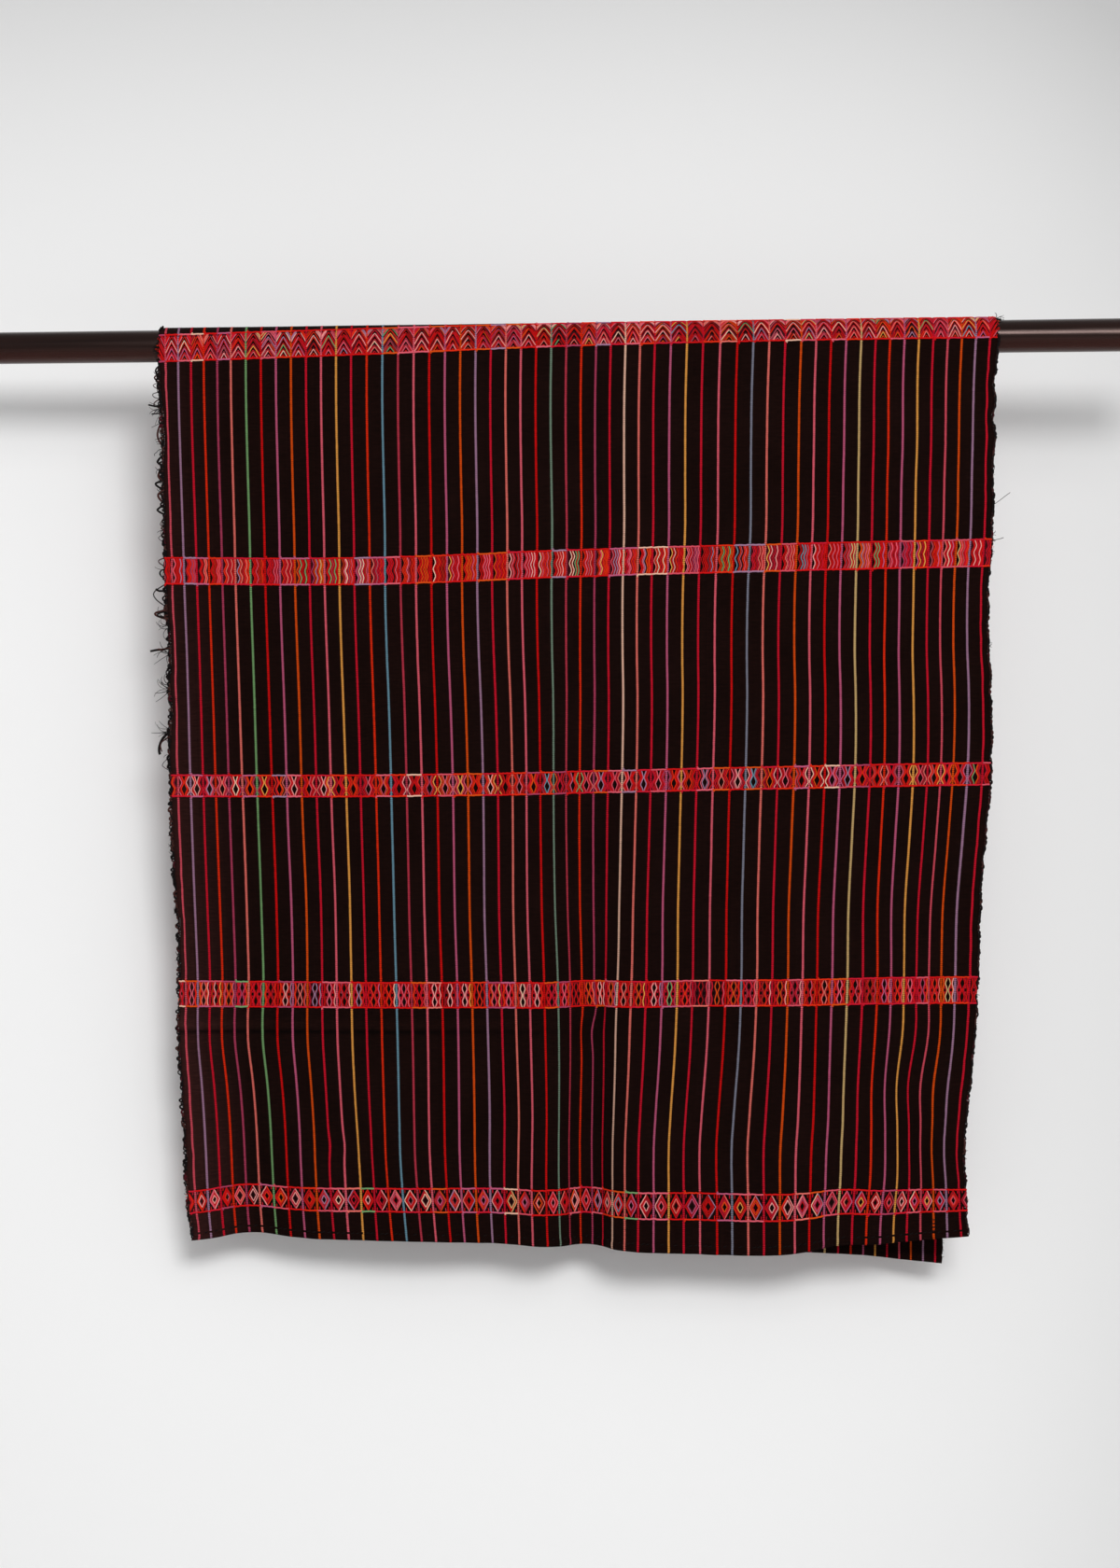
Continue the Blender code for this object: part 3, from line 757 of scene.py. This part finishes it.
def waves(pitch, height, rng):
    """The first yarn swings widest, so a black crescent is left twice between it and the stripe."""
    v = np.linspace(0.0, height, 60)
    swung = swing(v / height, (0, 0.05), (0.26, 1), (0.5, 0), (0.74, 1), (1, 0.05))
    roles = rng.choice(WAVE_ROLES)
    strokes = []
    for number, role in enumerate(roles):
        share = number / (len(roles) - 1)
        start = 1.8 + share * (pitch - 4.1)
        strokes.append(Stroke(start + 2.9 * (1.0 - 0.5 * share**2) * swung, v, role))
    if rng.random() < 0.5:
        hollow = swung > 0.45
        strokes.append(Stroke(0.9 + 1.5 * swung[hollow], v[hollow], "wine"))
    return strokes


# %% Crossings: an eye round each stripe, a cross and a dark lozenge between
def crossings(pitch, height, rng):
    """The eye is counted from its stripe, the cross from the middle of the cell."""
    v = np.linspace(0.0, height, 60)
    middle = pitch / 2
    eye = swing(v / height, (0, 1.0), (0.37, 4.5), (0.69, 0.6), (0.92, 3.5), (1, 4.4))
    cross = swing(v / height, (0, 2.8), (0.37, 0.3), (0.64, 3.3), (0.92, 0.4), (1, 1.2))
    between = middle - eye - cross
    open_eye = eye > 2.8
    strokes = []
    for side, around in ((0, "around"), (1, "right_around")):
        lines = [(eye, v, around), (eye + between / 3, v, "deep"), (eye + between * 2 / 3, v, "bright"),
                 (middle - cross, v, "cell"), (eye[open_eye] - 1.25, v[open_eye], "wine")]
        for u, falls, role in lines:
            strokes.append(Stroke(pitch - u if side else u, falls, role))
    return strokes


# %% A net: a chain of two links between the stripes, another round each stripe
def net(pitch, height, rng):
    """Darker stitches close both ends of every gap between the chains, so only its core stays black."""
    v = np.linspace(0.0, height, 60)
    middle = pitch / 2
    bulge = swing(v / height, (0, 0), (0.25, 1), (0.5, 0), (0.75, 1), (1, 0))
    chain, beside, lens = 0.35 + 2.3 * bulge, 1.55 + 2.3 * bulge, middle - 2.5 - 1.5 * bulge
    tips, narrow = (bulge > 0.3) & (bulge < 0.6), (bulge > 0.2) & (bulge < 0.5)
    strokes = []
    for side, around in ((-1, "bright"), (1, "right_around")):
        lines = [(chain, v, "cell"), (beside, v, "deep"), (lens, v, "bright"), (lens + 1.05, v, around),
                 (chain[tips] * 0.4, v[tips], "wine"), ((beside + lens)[narrow] / 2, v[narrow], "deep")]
        for u, falls, role in lines:
            for part in np.split(np.arange(len(falls)), np.flatnonzero(np.diff(falls) > 1.0) + 1):
                strokes.append(Stroke(middle + side * u[part], falls[part], role))
    return strokes


# %% Diamonds: one within the other
DIAMOND_ROLES = (
    ("cell", "deep", "bright", "light"), ("second", "deep", "deep", "light"),
    ("light", "deep", "light", "wine"), ("cell", "bright", "deep", "cell"),
    ("second", "bright", "light", "deep"), ("light", "deep", "bright", "deep"),
)


def diamonds(pitch, height, rng):
    """Three or four outlines round a black core, and short stitches that halve the black corners."""
    strokes = []
    middle, level = pitch / 2, height / 2
    rings = rng.choice(DIAMOND_ROLES)[:3 if pitch < 13.5 else 4]
    for number, role in enumerate(rings):
        across = (middle - 1.4) * (1.0 - 0.187 * number)
        down = (level - 2.0) * across / (middle - 1.4)
        for side in (-1, 1):
            u, v = ways((middle, level - down), (middle + side * across, level), (middle, level + down))
            strokes.append(Stroke(u, v, "around" if number == 0 and side < 0 else role))
    for side in (-1, 1):
        for top in (1.2, height - 5.6):
            beside = ways((middle + side * (middle - 2.7), top), (middle + side * (middle - 2.7), top + 4.4))
            strokes.append(Stroke(*beside, "deep"))
    return strokes


MOTIFS = {"roofs": roofs, "waves": waves, "crossings": crossings, "net": net, "diamonds": diamonds}

# %% [markdown]
# ## Choosing the dyes
#
# Reds outnumber everything else. A light or bright dye marks one line of a cell, so a cell reads as its
# own figure. The choice is a seeded draw with weights, which keeps the rhythm without copying any cell.

# %% Weighted draws
DRAWS = {
    "deep": {"crimson": 8, "red": 4, "raspberry": 1.5, "wine": 1.6},
    "bright": {"red": 9, "vermilion": 3.4, "rose": 1.0, "crimson": 2, "pink": 0.6, "orange": 0.8},
    "light": {"blush": 4, "pink": 4, "salmon": 3.2, "rose": 2.2, "orchid": 2, "lilac": 1.8, "cream": 1.2,
              "orange": 1.8, "gold": 0.8, "green": 0.5, "lime": 0.5, "sky": 0.2, "plum": 0.7},
    "border": {"red": 9, "crimson": 5, "vermilion": 3, "orange": 1.8, "rose": 3, "pink": 2.4, "orchid": 1.4,
               "lilac": 0.7, "cream": 0.4, "green": 0.5, "salmon": 1, "plum": 0.6},
}
DRAWS["cell"] = {**DRAWS["light"], "red": 6, "vermilion": 4, "crimson": 2}
DRAWS["second"] = {**DRAWS["light"], "red": 7, "crimson": 5, "vermilion": 3}


def draw(rng, role):
    return rng.choices(list(DRAWS[role]), list(DRAWS[role].values()))[0]


def cell_dyes(rng, around, right_around, at_edge):
    """One dye for each role in a cell. Two neighbours share the dye of the lines round their stripe."""
    dyes = {role: draw(rng, role) for role in DRAWS}
    dyes.update(around=around, right_around=right_around, wine="wine")
    if at_edge:
        dyes.update(cell="red", second="crimson", light="rose", around="crimson", right_around="crimson")
    return dyes


def as_taken(rng, dye):
    """Some yarns took less dye than others."""
    paler = "paler_" + dye
    return paler if paler in DYES and rng.random() < 0.22 else dye


# %% From strokes on the flat cloth to lines on the hanging one
def spaced(values, count):
    return np.interp(np.linspace(0, len(values) - 1, count), np.arange(len(values)), values)


def runs_inside(across, v, height):
    """Cuts a stroke where it leaves the band or the cloth, and returns the pieces that are left."""
    inside = (v > 1.0) & (v < height - 1.0) & (across > 0.5) & (across < CLOTH_WIDTH * 1000 - 0.5)
    marks = np.flatnonzero(np.diff(np.concatenate([[0], inside.astype(int), [0]])))
    return [slice(a, b) for a, b in zip(marks[::2], marks[1::2]) if b - a >= 4]


def raised(across, fall, rise):
    """Points at a height above the outer side of the cloth. All three are in millimetres."""
    points, outward = surface(np.asarray(across) / 1000, np.asarray(fall) / 1000)
    return points + outward * (CLOTH_THICKNESS / 2 + np.asarray(rise) / 1000)[:, None]


def band_paths(band, rng, spacing):
    """Every yarn of a band as (across, fall, rise, dye, thick), in millimetres."""
    # One more stripe is imagined beyond each side edge, so that the outermost cells have two sides.
    first, last = stripe_places[0] * 1000 - 14.5, stripe_places[-1] * 1000 + 15.2
    places = np.concatenate([[first], stripe_places * 1000, [last]])
    around = [draw(rng, "second" if band.motif == "roofs" else "cell") for _ in places]
    height = band.height * 1000
    paths = []
    for number in range(len(places) - 1):
        pitch = places[number + 1] - places[number]
        dyes = cell_dyes(rng, *around[number:number + 2], number in (0, len(places) - 2))
        for stroke in MOTIFS[band.motif](pitch, height, rng):
            across = places[number] + stroke.u
            for run in runs_inside(across, stroke.v, height):
                length = np.hypot(np.diff(across[run]), np.diff(stroke.v[run])).sum()
                count = max(3, round(length / spacing) + 1)
                rise = np.full(count, rng.uniform(0.05, 0.20) + (0.0 if stroke.role == "deep" else 0.15))
                rise[[0, -1]] = -0.3
                sway = np.array([rng.uniform(-0.17, 0.17) for _ in range(count)])
                dye = as_taken(rng, dyes[stroke.role] if rng.random() > 0.06 else draw(rng, "bright"))
                one = (spaced(across[run], count) + sway, band.top * 1000 + spaced(stroke.v[run], count))
                finer = 0.07 if stroke.role in ("deep", "bright", "wine") else 0.0
                finer += {"waves": -0.05, "roofs": 0.06}.get(band.motif, 0.0)
                paths.append((*one, rise, dye, rng.uniform(0.50, 0.60) - finer))
        paths += border_paths(band, places[number], pitch, dyes["border"], rng, spacing)
    return paths


# %% The border of a band, with the small loops where a dye ends
def border_paths(band, left, pitch, dye, rng, spacing):
    """Two thick yarns along a cell's top and bottom. Their ends sometimes stand out as a tuft."""
    low, high = max(left, 0.4), min(left + pitch, CLOTH_WIDTH * 1000 - 0.4)
    count = max(4, round((high - low) / spacing) + 1)
    paths = []
    for v, out in ((0.9, -1.0), (band.height * 1000 - 0.9, 1.0)):
        across = np.linspace(low + 0.3, high - 0.3, count)
        fall = band.top * 1000 + v + np.array([rng.uniform(-0.28, 0.28) for _ in range(count)])
        rise = np.full(count, 0.35)
        rise[[0, -1]] = -0.2
        paths.append((across, fall, rise, dye, rng.uniform(0.85, 1.0)))
        if rng.random() < 0.45:
            at, tall, lean = low + rng.uniform(0.2, 1.4), rng.uniform(1.2, 2.8), rng.uniform(-1.0, 1.0)
            steps = np.array([0.0, 0.45, 1.0, 0.5, 0.0])
            loop = at + np.array([-0.6, -0.7, 0.0, 0.7, 0.6]) + lean * steps
            paths.append((loop, fall[0] + out * tall * steps, 0.1 + 0.9 * steps, dye, 0.5))
    return paths


# %% Lay the yarns of every band
def lay_band(band, seed, sides, spacing):
    rng = random.Random(seed)
    paths = band_paths(band, rng, spacing)
    joined = [np.concatenate([path[part] for path in paths]) for part in range(3)]
    points = raised(*joined)
    ends = np.cumsum([len(path[0]) for path in paths])[:-1]
    pieces = np.split(points, ends)
    lines = [Line(piece, path[3], path[4] / 1000) for piece, path in zip(pieces, paths)]
    return make_yarns(band.name, lines, sides)


front_bands = [lay_band(band, 20 + k, sides=5, spacing=2.1) for k, band in enumerate(FRONT_BANDS)]
back_bands = [lay_band(band, 40 + k, sides=4, spacing=3.4) for k, band in enumerate(BACK_BANDS)]

# %% [markdown]
# ## Stitches of the hem
#
# The end of the cloth is turned up and caught with black thread. From the front one sees small slanted
# stitches in a row, a little above the fold.

# %% Hem stitches
def hem_stitches():
    rng = random.Random(3)
    places = []
    # A stitch every few millimetres, but none where it would cross a stripe.
    for start in np.arange(4.0, CLOTH_WIDTH * 1000 - 6.0, 5.4):
        if np.abs(stripe_places * 1000 - start - 1.7).min() < 4.0:
            continue
        across = start + np.array([0.0, 1.0, 2.4, 3.4]) + rng.uniform(-0.7, 0.7)
        fall = (FRONT_FALL - STITCH_ABOVE_HEM) * 1000 + np.array([0.7, 0.2, -0.2, -0.6])
        places.append((across, fall + rng.uniform(-0.4, 0.4), np.array([-0.2, 0.75, 0.75, -0.2])))
    # Near the right corner darker thread catches one stripe again and again.
    for fall in np.arange(FRONT_FALL - 0.0240, FRONT_FALL - 0.0100, 0.0045):
        across = stripe_places[-3] * 1000 + np.array([-2.0, -0.7, 0.7, 2.0])
        places.append((across, np.full(4, fall * 1000), np.array([-0.2, 0.95, 0.95, -0.2])))
    points = raised(*(np.concatenate(part) for part in zip(*places)))
    return make_yarns("hem_stitches", [Line(piece, "black", 0.0005) for piece in points.reshape(-1, 4, 3)])


stitches = hem_stitches()

# %% [markdown]
# ## Loose threads
#
# The side edges are cut, so the wefts work loose. Most stand out as short fuzz. In some places whole
# tufts have come away, with curls and loops, most of them along the upper left edge.

# %% Where the tufts are
Tuft = namedtuple("Tuft", "fall spread count longest curl")
TUFTS = {
    "left": [Tuft(*row) for row in (
        (-0.004, 0.006, 14, 0.008, 0.5), (0.040, 0.014, 9, 0.012, 1.0), (0.064, 0.012, 12, 0.019, 1.2),
        (0.092, 0.016, 8, 0.012, 1.2), (0.145, 0.030, 14, 0.012, 1.2), (0.195, 0.014, 8, 0.010, 1.0),
        (0.240, 0.014, 12, 0.014, 1.1), (0.296, 0.008, 8, 0.020, 1.1), (0.327, 0.004, 8, 0.022, 0.6),
        (0.368, 0.009, 12, 0.022, 1.0), (0.412, 0.005, 10, 0.024, 1.0), (0.432, 0.010, 7, 0.010, 0.7),
        (0.535, 0.012, 10, 0.008, 0.6), (0.600, 0.014, 10, 0.007, 0.6), (0.660, 0.012, 10, 0.007, 0.6),
        (0.905, 0.012, 8, 0.006, 0.5)
    )],
    "right": [Tuft(*row) for row in (
        (-0.018, 0.006, 22, 0.010, 0.6), (0.075, 0.014, 10, 0.005, 0.9), (0.222, 0.003, 12, 0.007, 0.8),
        (0.238, 0.004, 14, 0.006, 0.7), (0.330, 0.012, 10, 0.006, 0.7), (0.700, 0.012, 10, 0.006, 0.6),
        (0.860, 0.012, 10, 0.006, 0.5)
    )],
}
# Single threads and open loops: each ends away and down from its root, and bulges outwards between.
STRAND = "fall away down bulge thick dye"
STRANDS = {
    "left": table(
        STRAND,
        (-30, -4, -4, 0, 1.2, "black"), (-28, -2, -4, 1, 1, "black"), (13, 0, 10, 5, 0.95, "black"),
        (21, 0, 10, 6, 0.9, "brown"), (30, 0, 9, 7, 0.4, "brown"), (41, 2, 8, 8, 0.45, "black"),
        (49, 0, 11, 9, 0.6, "brown"), (58, 15, -2, 1, 0.95, "black"), (62, 12, 4, -2, 0.85, "black"),
        (72, 1, 28, 6, 1.1, "brown"), (104, 10, 8, 4, 0.32, "black"), (112, 0, 12, 7, 1.2, "black"),
        (126, 0, 14, 6, 1.3, "brown"), (139, 0, 10, 8, 1.1, "black"), (150, 0, 14, 6, 1.2, "brown"),
        (166, 0, 11, 8, 1.1, "black"), (182, 0, 10, 6, 0.36, "brown"), (197, 0, 11, 7, 0.34, "black"),
        (224, 0, 10, 9, 0.6, "brown"), (236, 0, 12, 7, 0.7, "black"), (252, 0, 26, 14, 0.6, "black"),
        (262, 12, -3, 2, 1.1, "black"), (281, 0, 10, 13, 1.2, "brown"), (283, 0, 7, 11, 0.9, "black"),
        (321, 22, 5, -3, 1.2, "black"), (323, 14, 1, -2, 1, "brown"), (344, 0, 11, 6, 0.7, "black"),
        (412, 12, 25, 6, 1.4, "black"), (416, 10, 18, 5, 0.7, "brown"), (441, 0, 14, 9, 0.34, "black")),
    "right": table(
        STRAND,
        (189, 19, -14, 0, 0.3, "black"), (206, 0, 17, 3, 0.3, "black"), (228, 14, -5, -1, 0.32, "black"),
        (142, 0, 14, 3, 0.4, "black"), (-30, -2, -3, 0, 1, "black")),
}
OUTWARD = {"left": -1.0, "right": 1.0}


# %% One loose thread
def loose_thread(root, outward, length, curl, rng, steps):
    """A line that leaves the edge sideways, sags and curls. Its points are (n, 3), in metres."""
    share = np.linspace(0.0, 1.0, steps)
    turn = rng.uniform(-1.0, 1.0) * curl * 2.6
    start = rng.uniform(-0.9, 0.9)
    angle = start + turn * share**1.3 - 0.35 * share
    step = length / (steps - 1)
    sideways = outward * np.concatenate([[0.0], np.cumsum(np.cos(angle[1:]) * step)])
    down = np.concatenate([[0.0], np.cumsum(np.sin(angle[1:]) * step)])
    towards = rng.uniform(-0.35, 0.35) * length * share**1.5
    return root + np.stack([sideways, towards, down], axis=1)


ROOT_INSET = 0.0006
EDGE_SAMPLES = 2400
edge_falls = np.linspace(BACK_HEM, FRONT_FALL, EDGE_SAMPLES)
edge_points = {}
for side_name, inset, side_noise in zip(OUTWARD, (ROOT_INSET, CLOTH_WIDTH - ROOT_INSET), edge_noise):
    edge_points[side_name] = surface(inset, edge_falls)[0]
    edge_points[side_name][:, 0] += 0.8 * np.interp(edge_falls, rows, side_noise)


def edge_root(side, fall):
    """The point of the side edge at this fall, or one row a point for several falls."""
    return np.array([np.interp(fall, edge_falls, column) for column in edge_points[side].T]).T


def thread_line(side, fall, length, curl, rng, thick, steps, dye="black"):
    """A loose thread of this side, thinner towards its tip."""
    points = loose_thread(edge_root(side, fall), OUTWARD[side], length, curl, rng, steps)
    return Line(points, dye, np.linspace(1.0, 0.45, steps) * thick)


# %% A loop where the weft turned round
def loop_line(side, fall, tall, out, rng, dye):
    """A half ring of thread that leaves the edge and comes back to it a little lower."""
    turn = np.linspace(0.0, math.pi, 6)
    points = edge_root(side, fall + tall * (1.0 - np.cos(turn)) / 2)
    points[:, 0] += OUTWARD[side] * out * np.sin(turn)
    points[:, 1] += rng.uniform(-0.4, 0.4) * out * np.sin(turn)
    return Line(points, dye, rng.uniform(0.00070, 0.00110))


def strand_line(side, strand, rng):
    """A thread of the table, with a little sway of its own."""
    share = np.linspace(0.0, 1.0, 11)
    points = np.tile(edge_root(side, strand.fall), (11, 1))
    sway = 0.0006 * np.sin(share * rng.uniform(4.0, 9.0) + rng.uniform(0.0, 6.0)) * np.sin(math.pi * share)
    bulge = strand.bulge * np.sin(math.pi * share)
    points[:, 0] += OUTWARD[side] * (strand.away * share + bulge + sway)
    points[:, 1] += rng.uniform(-0.002, 0.002) * np.sin(math.pi * share)
    points[:, 2] -= strand.down * share - sway
    return Line(points, strand.dye, strand.thick)


# %% All the loose threads of a side
def loose_threads(side, seed):
    rng = random.Random(seed)
    lines = []
    for tuft in TUFTS[side]:
        for _ in range(tuft.count):
            fall = tuft.fall + rng.gauss(0.0, 0.5) * tuft.spread
            length = tuft.longest * rng.uniform(0.35, 1.0)
            thick = rng.uniform(0.00030, 0.00055)
            lines.append(thread_line(side, fall, length, tuft.curl * 1.3, rng, thick, 9))
    # Short fuzz all the way down the front, then the single threads of the table.
    for fall in np.arange(0.004, FRONT_FALL - 0.004, 0.0020):
        length = rng.uniform(0.0012, 0.0042) if side == "left" else rng.uniform(0.0010, 0.0032)
        lines.append(thread_line(side, fall + rng.uniform(0, 0.001), length, 0.8, rng, 0.00032, 4))
    lines += [strand_line(side, strand, rng) for strand in STRANDS[side]]
    # Loops where the weft turned round, more small ones than large ones.
    farthest = 0.0046 if side == "left" else 0.0026
    for fall in np.arange(0.004, FRONT_FALL - 0.008, 0.0017):
        dye = rng.choices(("black", "brown", "wine"), (14, 4, 1))[0]
        tall, out = rng.uniform(0.0030, 0.0065), 0.0008 + (farthest - 0.0008) * rng.random() ** 1.6
        lines.append(loop_line(side, fall + rng.uniform(-0.001, 0.001), tall, out, rng, dye))
    # Fuzz down the back, then the coloured ends of each band's yarns.
    for fall in np.arange(back_start - 0.004, BACK_HEM + 0.004, -0.0030):
        lines.append(thread_line(side, fall, rng.uniform(0.0015, 0.0050), 0.8, rng, 0.00032, 4))
    for band in (*FRONT_BANDS, *BACK_BANDS):
        for _ in range(9):
            fall = band.top + rng.uniform(0.001, band.height - 0.001)
            dye = draw(rng, "bright")
            lines.append(thread_line(side, fall, rng.uniform(0.0015, 0.0042), 0.7, rng, 0.00042, 5, dye))
    return make_yarns("loose_threads_" + side, lines, 4)


loose_left = loose_threads("left", 61)
loose_right = loose_threads("right", 62)

# %% [markdown]
# ## The rod
#
# A turned pole with dark lacquer. The lacquer is thin, so the grain shows as long streaks, and the
# upper side catches the room's light. The lower side is painted a lighter red as painted light from below.

# %% Turn the rod
def turned_rod(name):
    """A long tube of rings with chamfered ends, a little thicker at its right end and not quite even."""
    half, sides = ROD_LENGTH / 2, 64
    along = np.concatenate([[-half, -half + 0.0015], np.linspace(-half + 0.02, half - 0.02, 44),
                            [half - 0.0015, half]])
    radius = arc_radius(along) - ROD_CLEARANCE - CLOTH_THICKNESS / 2
    radius = radius - 0.00010 * (1.0 + np.sin(along * 23.0) * np.sin(along * 7.0 + 1.0))
    radius[[0, -1]] -= 0.0015
    turns = np.linspace(0.0, 2 * math.pi, sides, endpoint=False)
    x = np.repeat(along, sides)
    r = np.repeat(radius, sides)
    a = np.tile(turns, len(along))
    cos_tilt, sin_tilt = math.cos(ROD_TILT), math.sin(ROD_TILT)
    y, z = r * np.cos(a), r * np.sin(a)
    points = np.stack([x * cos_tilt - z * sin_tilt, y, x * sin_tilt + z * cos_tilt], axis=1)
    faces = []
    for ring in range(len(along) - 1):
        for side in range(sides):
            one, other = ring * sides + side, ring * sides + (side + 1) % sides
            faces.append((one, other, other + sides, one + sides))
    faces.append(tuple(range(sides - 1, -1, -1)))
    faces.append(tuple(range(len(points) - sides, len(points))))
    obj = new_object(name, points, faces)
    obj.data.polygons.foreach_set("use_smooth", [len(face) == 4 for face in faces])
    return obj


rod = turned_rod("turned_rod")


# %% Dark lacquered wood
def lacquered_wood():
    material, tree, shader = new_finish("dark_lacquered_wood", 0.25, 0.34)
    place = object_place(tree)
    along = {"Vector": place, "Scale": (4.0, 160.0, 160.0)}
    stretched = Term(add_node(tree, "ShaderNodeMapping", along).outputs["Vector"])
    grain = clamped((noise(stretched, 1.0, 5.0) - 0.5) * 2.6 + 0.5)
    dark = mixed(grain, linear((10, 3, 3)), linear((27, 10, 7)))
    # Painted light: the underside is painted a lighter red, as if lit from below.
    x, _, z = parts_of(place)
    painted_underside_light = clamped((z - x * math.tan(ROD_TILT)) * -90.0 - 0.25)
    plug(shader.inputs["Base Color"], mixed(painted_underside_light, dark, linear((48, 15, 9))))
    plug(shader.inputs["Roughness"], grain * 0.12 + 0.17)
    plug(shader.inputs["Specular Tint"], (1.0, 0.72, 0.66, 1.0))
    add_bump(shader, grain, 0.0002, 0.5)
    return material


rod.data.materials.append(lacquered_wood())

# %% [markdown]
# ## Joining the looks to the frame
#
# Every piece belongs to the one body of the part. The woven sheet stands for the CAD cloth, the loose
# threads for the frayed strips and the turned rod for the plain one.

# %% Ride and replace
for piece in (cloth, stitches, loose_left, loose_right, rod, *front_bands, *back_bands):
    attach(piece, "root")
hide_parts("cloth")
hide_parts("fray_front_left", "fray_back_left")
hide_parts("fray_front_right", "fray_back_right")
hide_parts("rod")

# %% [markdown]
# ## The room
#
# A plain pale wall close behind catches the soft shadow of the rod and the cloth. From behind, the wall
# lets one look through, so that the cloth's back can be seen too.

# %% Wall and floor
def plain_panel(name, corners, colour):
    """A flat panel with matt paint. Also returns its shader and the paint's place and colour."""
    obj = new_object(name, corners, [(0, 1, 2, 3)])
    material, tree, shader = new_finish(name + "_paint", 0.95, 0.0)
    obj.data.materials.append(material)
    place = object_place(tree)
    paint = mixed(noise(place, 1.3), (*(c * 0.985 for c in colour), 1.0), (*colour, 1.0))
    plug(shader.inputs["Base Color"], paint)
    return obj, shader, place, paint


FLOOR_LEVEL = -1.46
WALL_BEHIND_HEM = 0.066
WALL_SLOPE = 0.110
WALL_TURN = 0.045
WALL_HALF = 3.5
WALL_TOP = 2.2
FLOOR_HALF = 6.0


def wall_point(x, level):
    """The panel leans back and turns a little, as the distances of the photo's shadows say."""
    return (x, WALL_BEHIND_HEM + WALL_SLOPE * (level + 0.98) + WALL_TURN * x, level)


wall_corners = [wall_point(-WALL_HALF, FLOOR_LEVEL), wall_point(WALL_HALF, FLOOR_LEVEL),
                wall_point(WALL_HALF, WALL_TOP), wall_point(-WALL_HALF, WALL_TOP)]
wall, wall_shader, place, paint = plain_panel("pale_wall", wall_corners, (0.93, 0.93, 0.93))
around_floor = ((-1, -1), (1, -1), (1, 1), (-1, 1))
floor_corners = [(x * FLOOR_HALF, y * FLOOR_HALF, FLOOR_LEVEL) for x, y in around_floor]
floor = plain_panel("pale_floor", floor_corners, (0.60, 0.60, 0.60))[0]

# %% Painted light falloff: the wall's paint turns greyer towards its top and its right side, where the studio light falls off
def painted_falloff_from(place, palest, strength):
    """The painted falloff of the studio light: the share of light that the paint loses, which grows with the
    fourth power of the distance.
    """
    distance = place - palest
    square = distance * distance
    return square * square * strength


x, _, z = parts_of(place)
painted_light_loss = painted_falloff_from(x, -0.25, 0.270) + painted_falloff_from(z, -0.75, 0.153)
# The wall's paint is dimmed by this painted light falloff, to no less than 0.55.
plug(wall_shader.inputs["Base Color"], dimmed(paint, maths("MAXIMUM", 1.0 - painted_light_loss, 0.55)))

# %% From behind, the wall lets one look through
wall_tree = wall_shader.id_data
from_behind = add_node(wall_tree, "ShaderNodeNewGeometry").outputs["Backfacing"]
see_through = add_node(wall_tree, "ShaderNodeBsdfTransparent").outputs["BSDF"]
choices = {0: Term(from_behind), 1: Term(wall_shader.outputs["BSDF"]), 2: Term(see_through)}
chooser = add_node(wall_tree, "ShaderNodeMixShader", choices)
plug(wall_tree.nodes["Material Output"].inputs["Surface"], Term(chooser.outputs["Shader"]))
wall.visible_shadow = False


# %% Soft light from the upper right
def soft_light(name, place, aim, width, height, power):
    data = bpy.data.lights.new(name, "AREA")
    data.shape = "ELLIPSE"
    data.size = width
    data.size_y = height
    data.energy = power
    lamp = put_in_scene(name, data)
    lamp.location = place
    lamp.visible_camera = False
    towards = np.array(aim, float) - np.array(place, float)
    level = math.hypot(towards[0], towards[1])
    turn = math.atan2(towards[1], towards[0]) - math.pi / 2
    lamp.rotation_euler = (math.atan2(level, -towards[2]), 0.0, turn)


soft_light("key_light", (0.95, -5.0, 1.65), (0.0, 0.0, -0.4), 1.9, 1.35, 125.0)
soft_light("wide_light", (1.0, -4.6, 1.9), (0.0, 0.0, -0.5), 3.6, 2.6, 58.0)
soft_light("back_fill", (-1.6, 3.2, 1.4), (0.0, 0.0, -0.5), 2.0, 2.0, 60.0)
world = bpy.data.worlds.new("studio")
world.use_nodes = True
world.node_tree.nodes["Background"].inputs["Color"].default_value = (1.0, 1.0, 1.0, 1.0)
world.node_tree.nodes["Background"].inputs["Strength"].default_value = 0.44
bpy.context.scene.world = world
bpy.context.scene.view_settings.view_transform = "Standard"

# %% [markdown]
# ## The camera
#
# The photo was taken level and square to the wall, so the rod's plane is seen at one millimetre a
# pixel. The lens follows from that scale and the distance.

# %% Camera
CAMERA_DISTANCE = 3.2
CAMERA_LEVEL = -0.474
SEEN_HEIGHT = 1.680
camera_data = bpy.data.cameras.new("camera")
camera_data.lens = camera_data.sensor_width * CAMERA_DISTANCE / SEEN_HEIGHT
camera = put_in_scene("camera", camera_data)
camera.location = (0.0, -CAMERA_DISTANCE, CAMERA_LEVEL)
camera.rotation_euler = (math.radians(90), 0.0, 0.0)
bpy.context.scene.camera = camera
print("lens", round(camera_data.lens, 2), "mm")
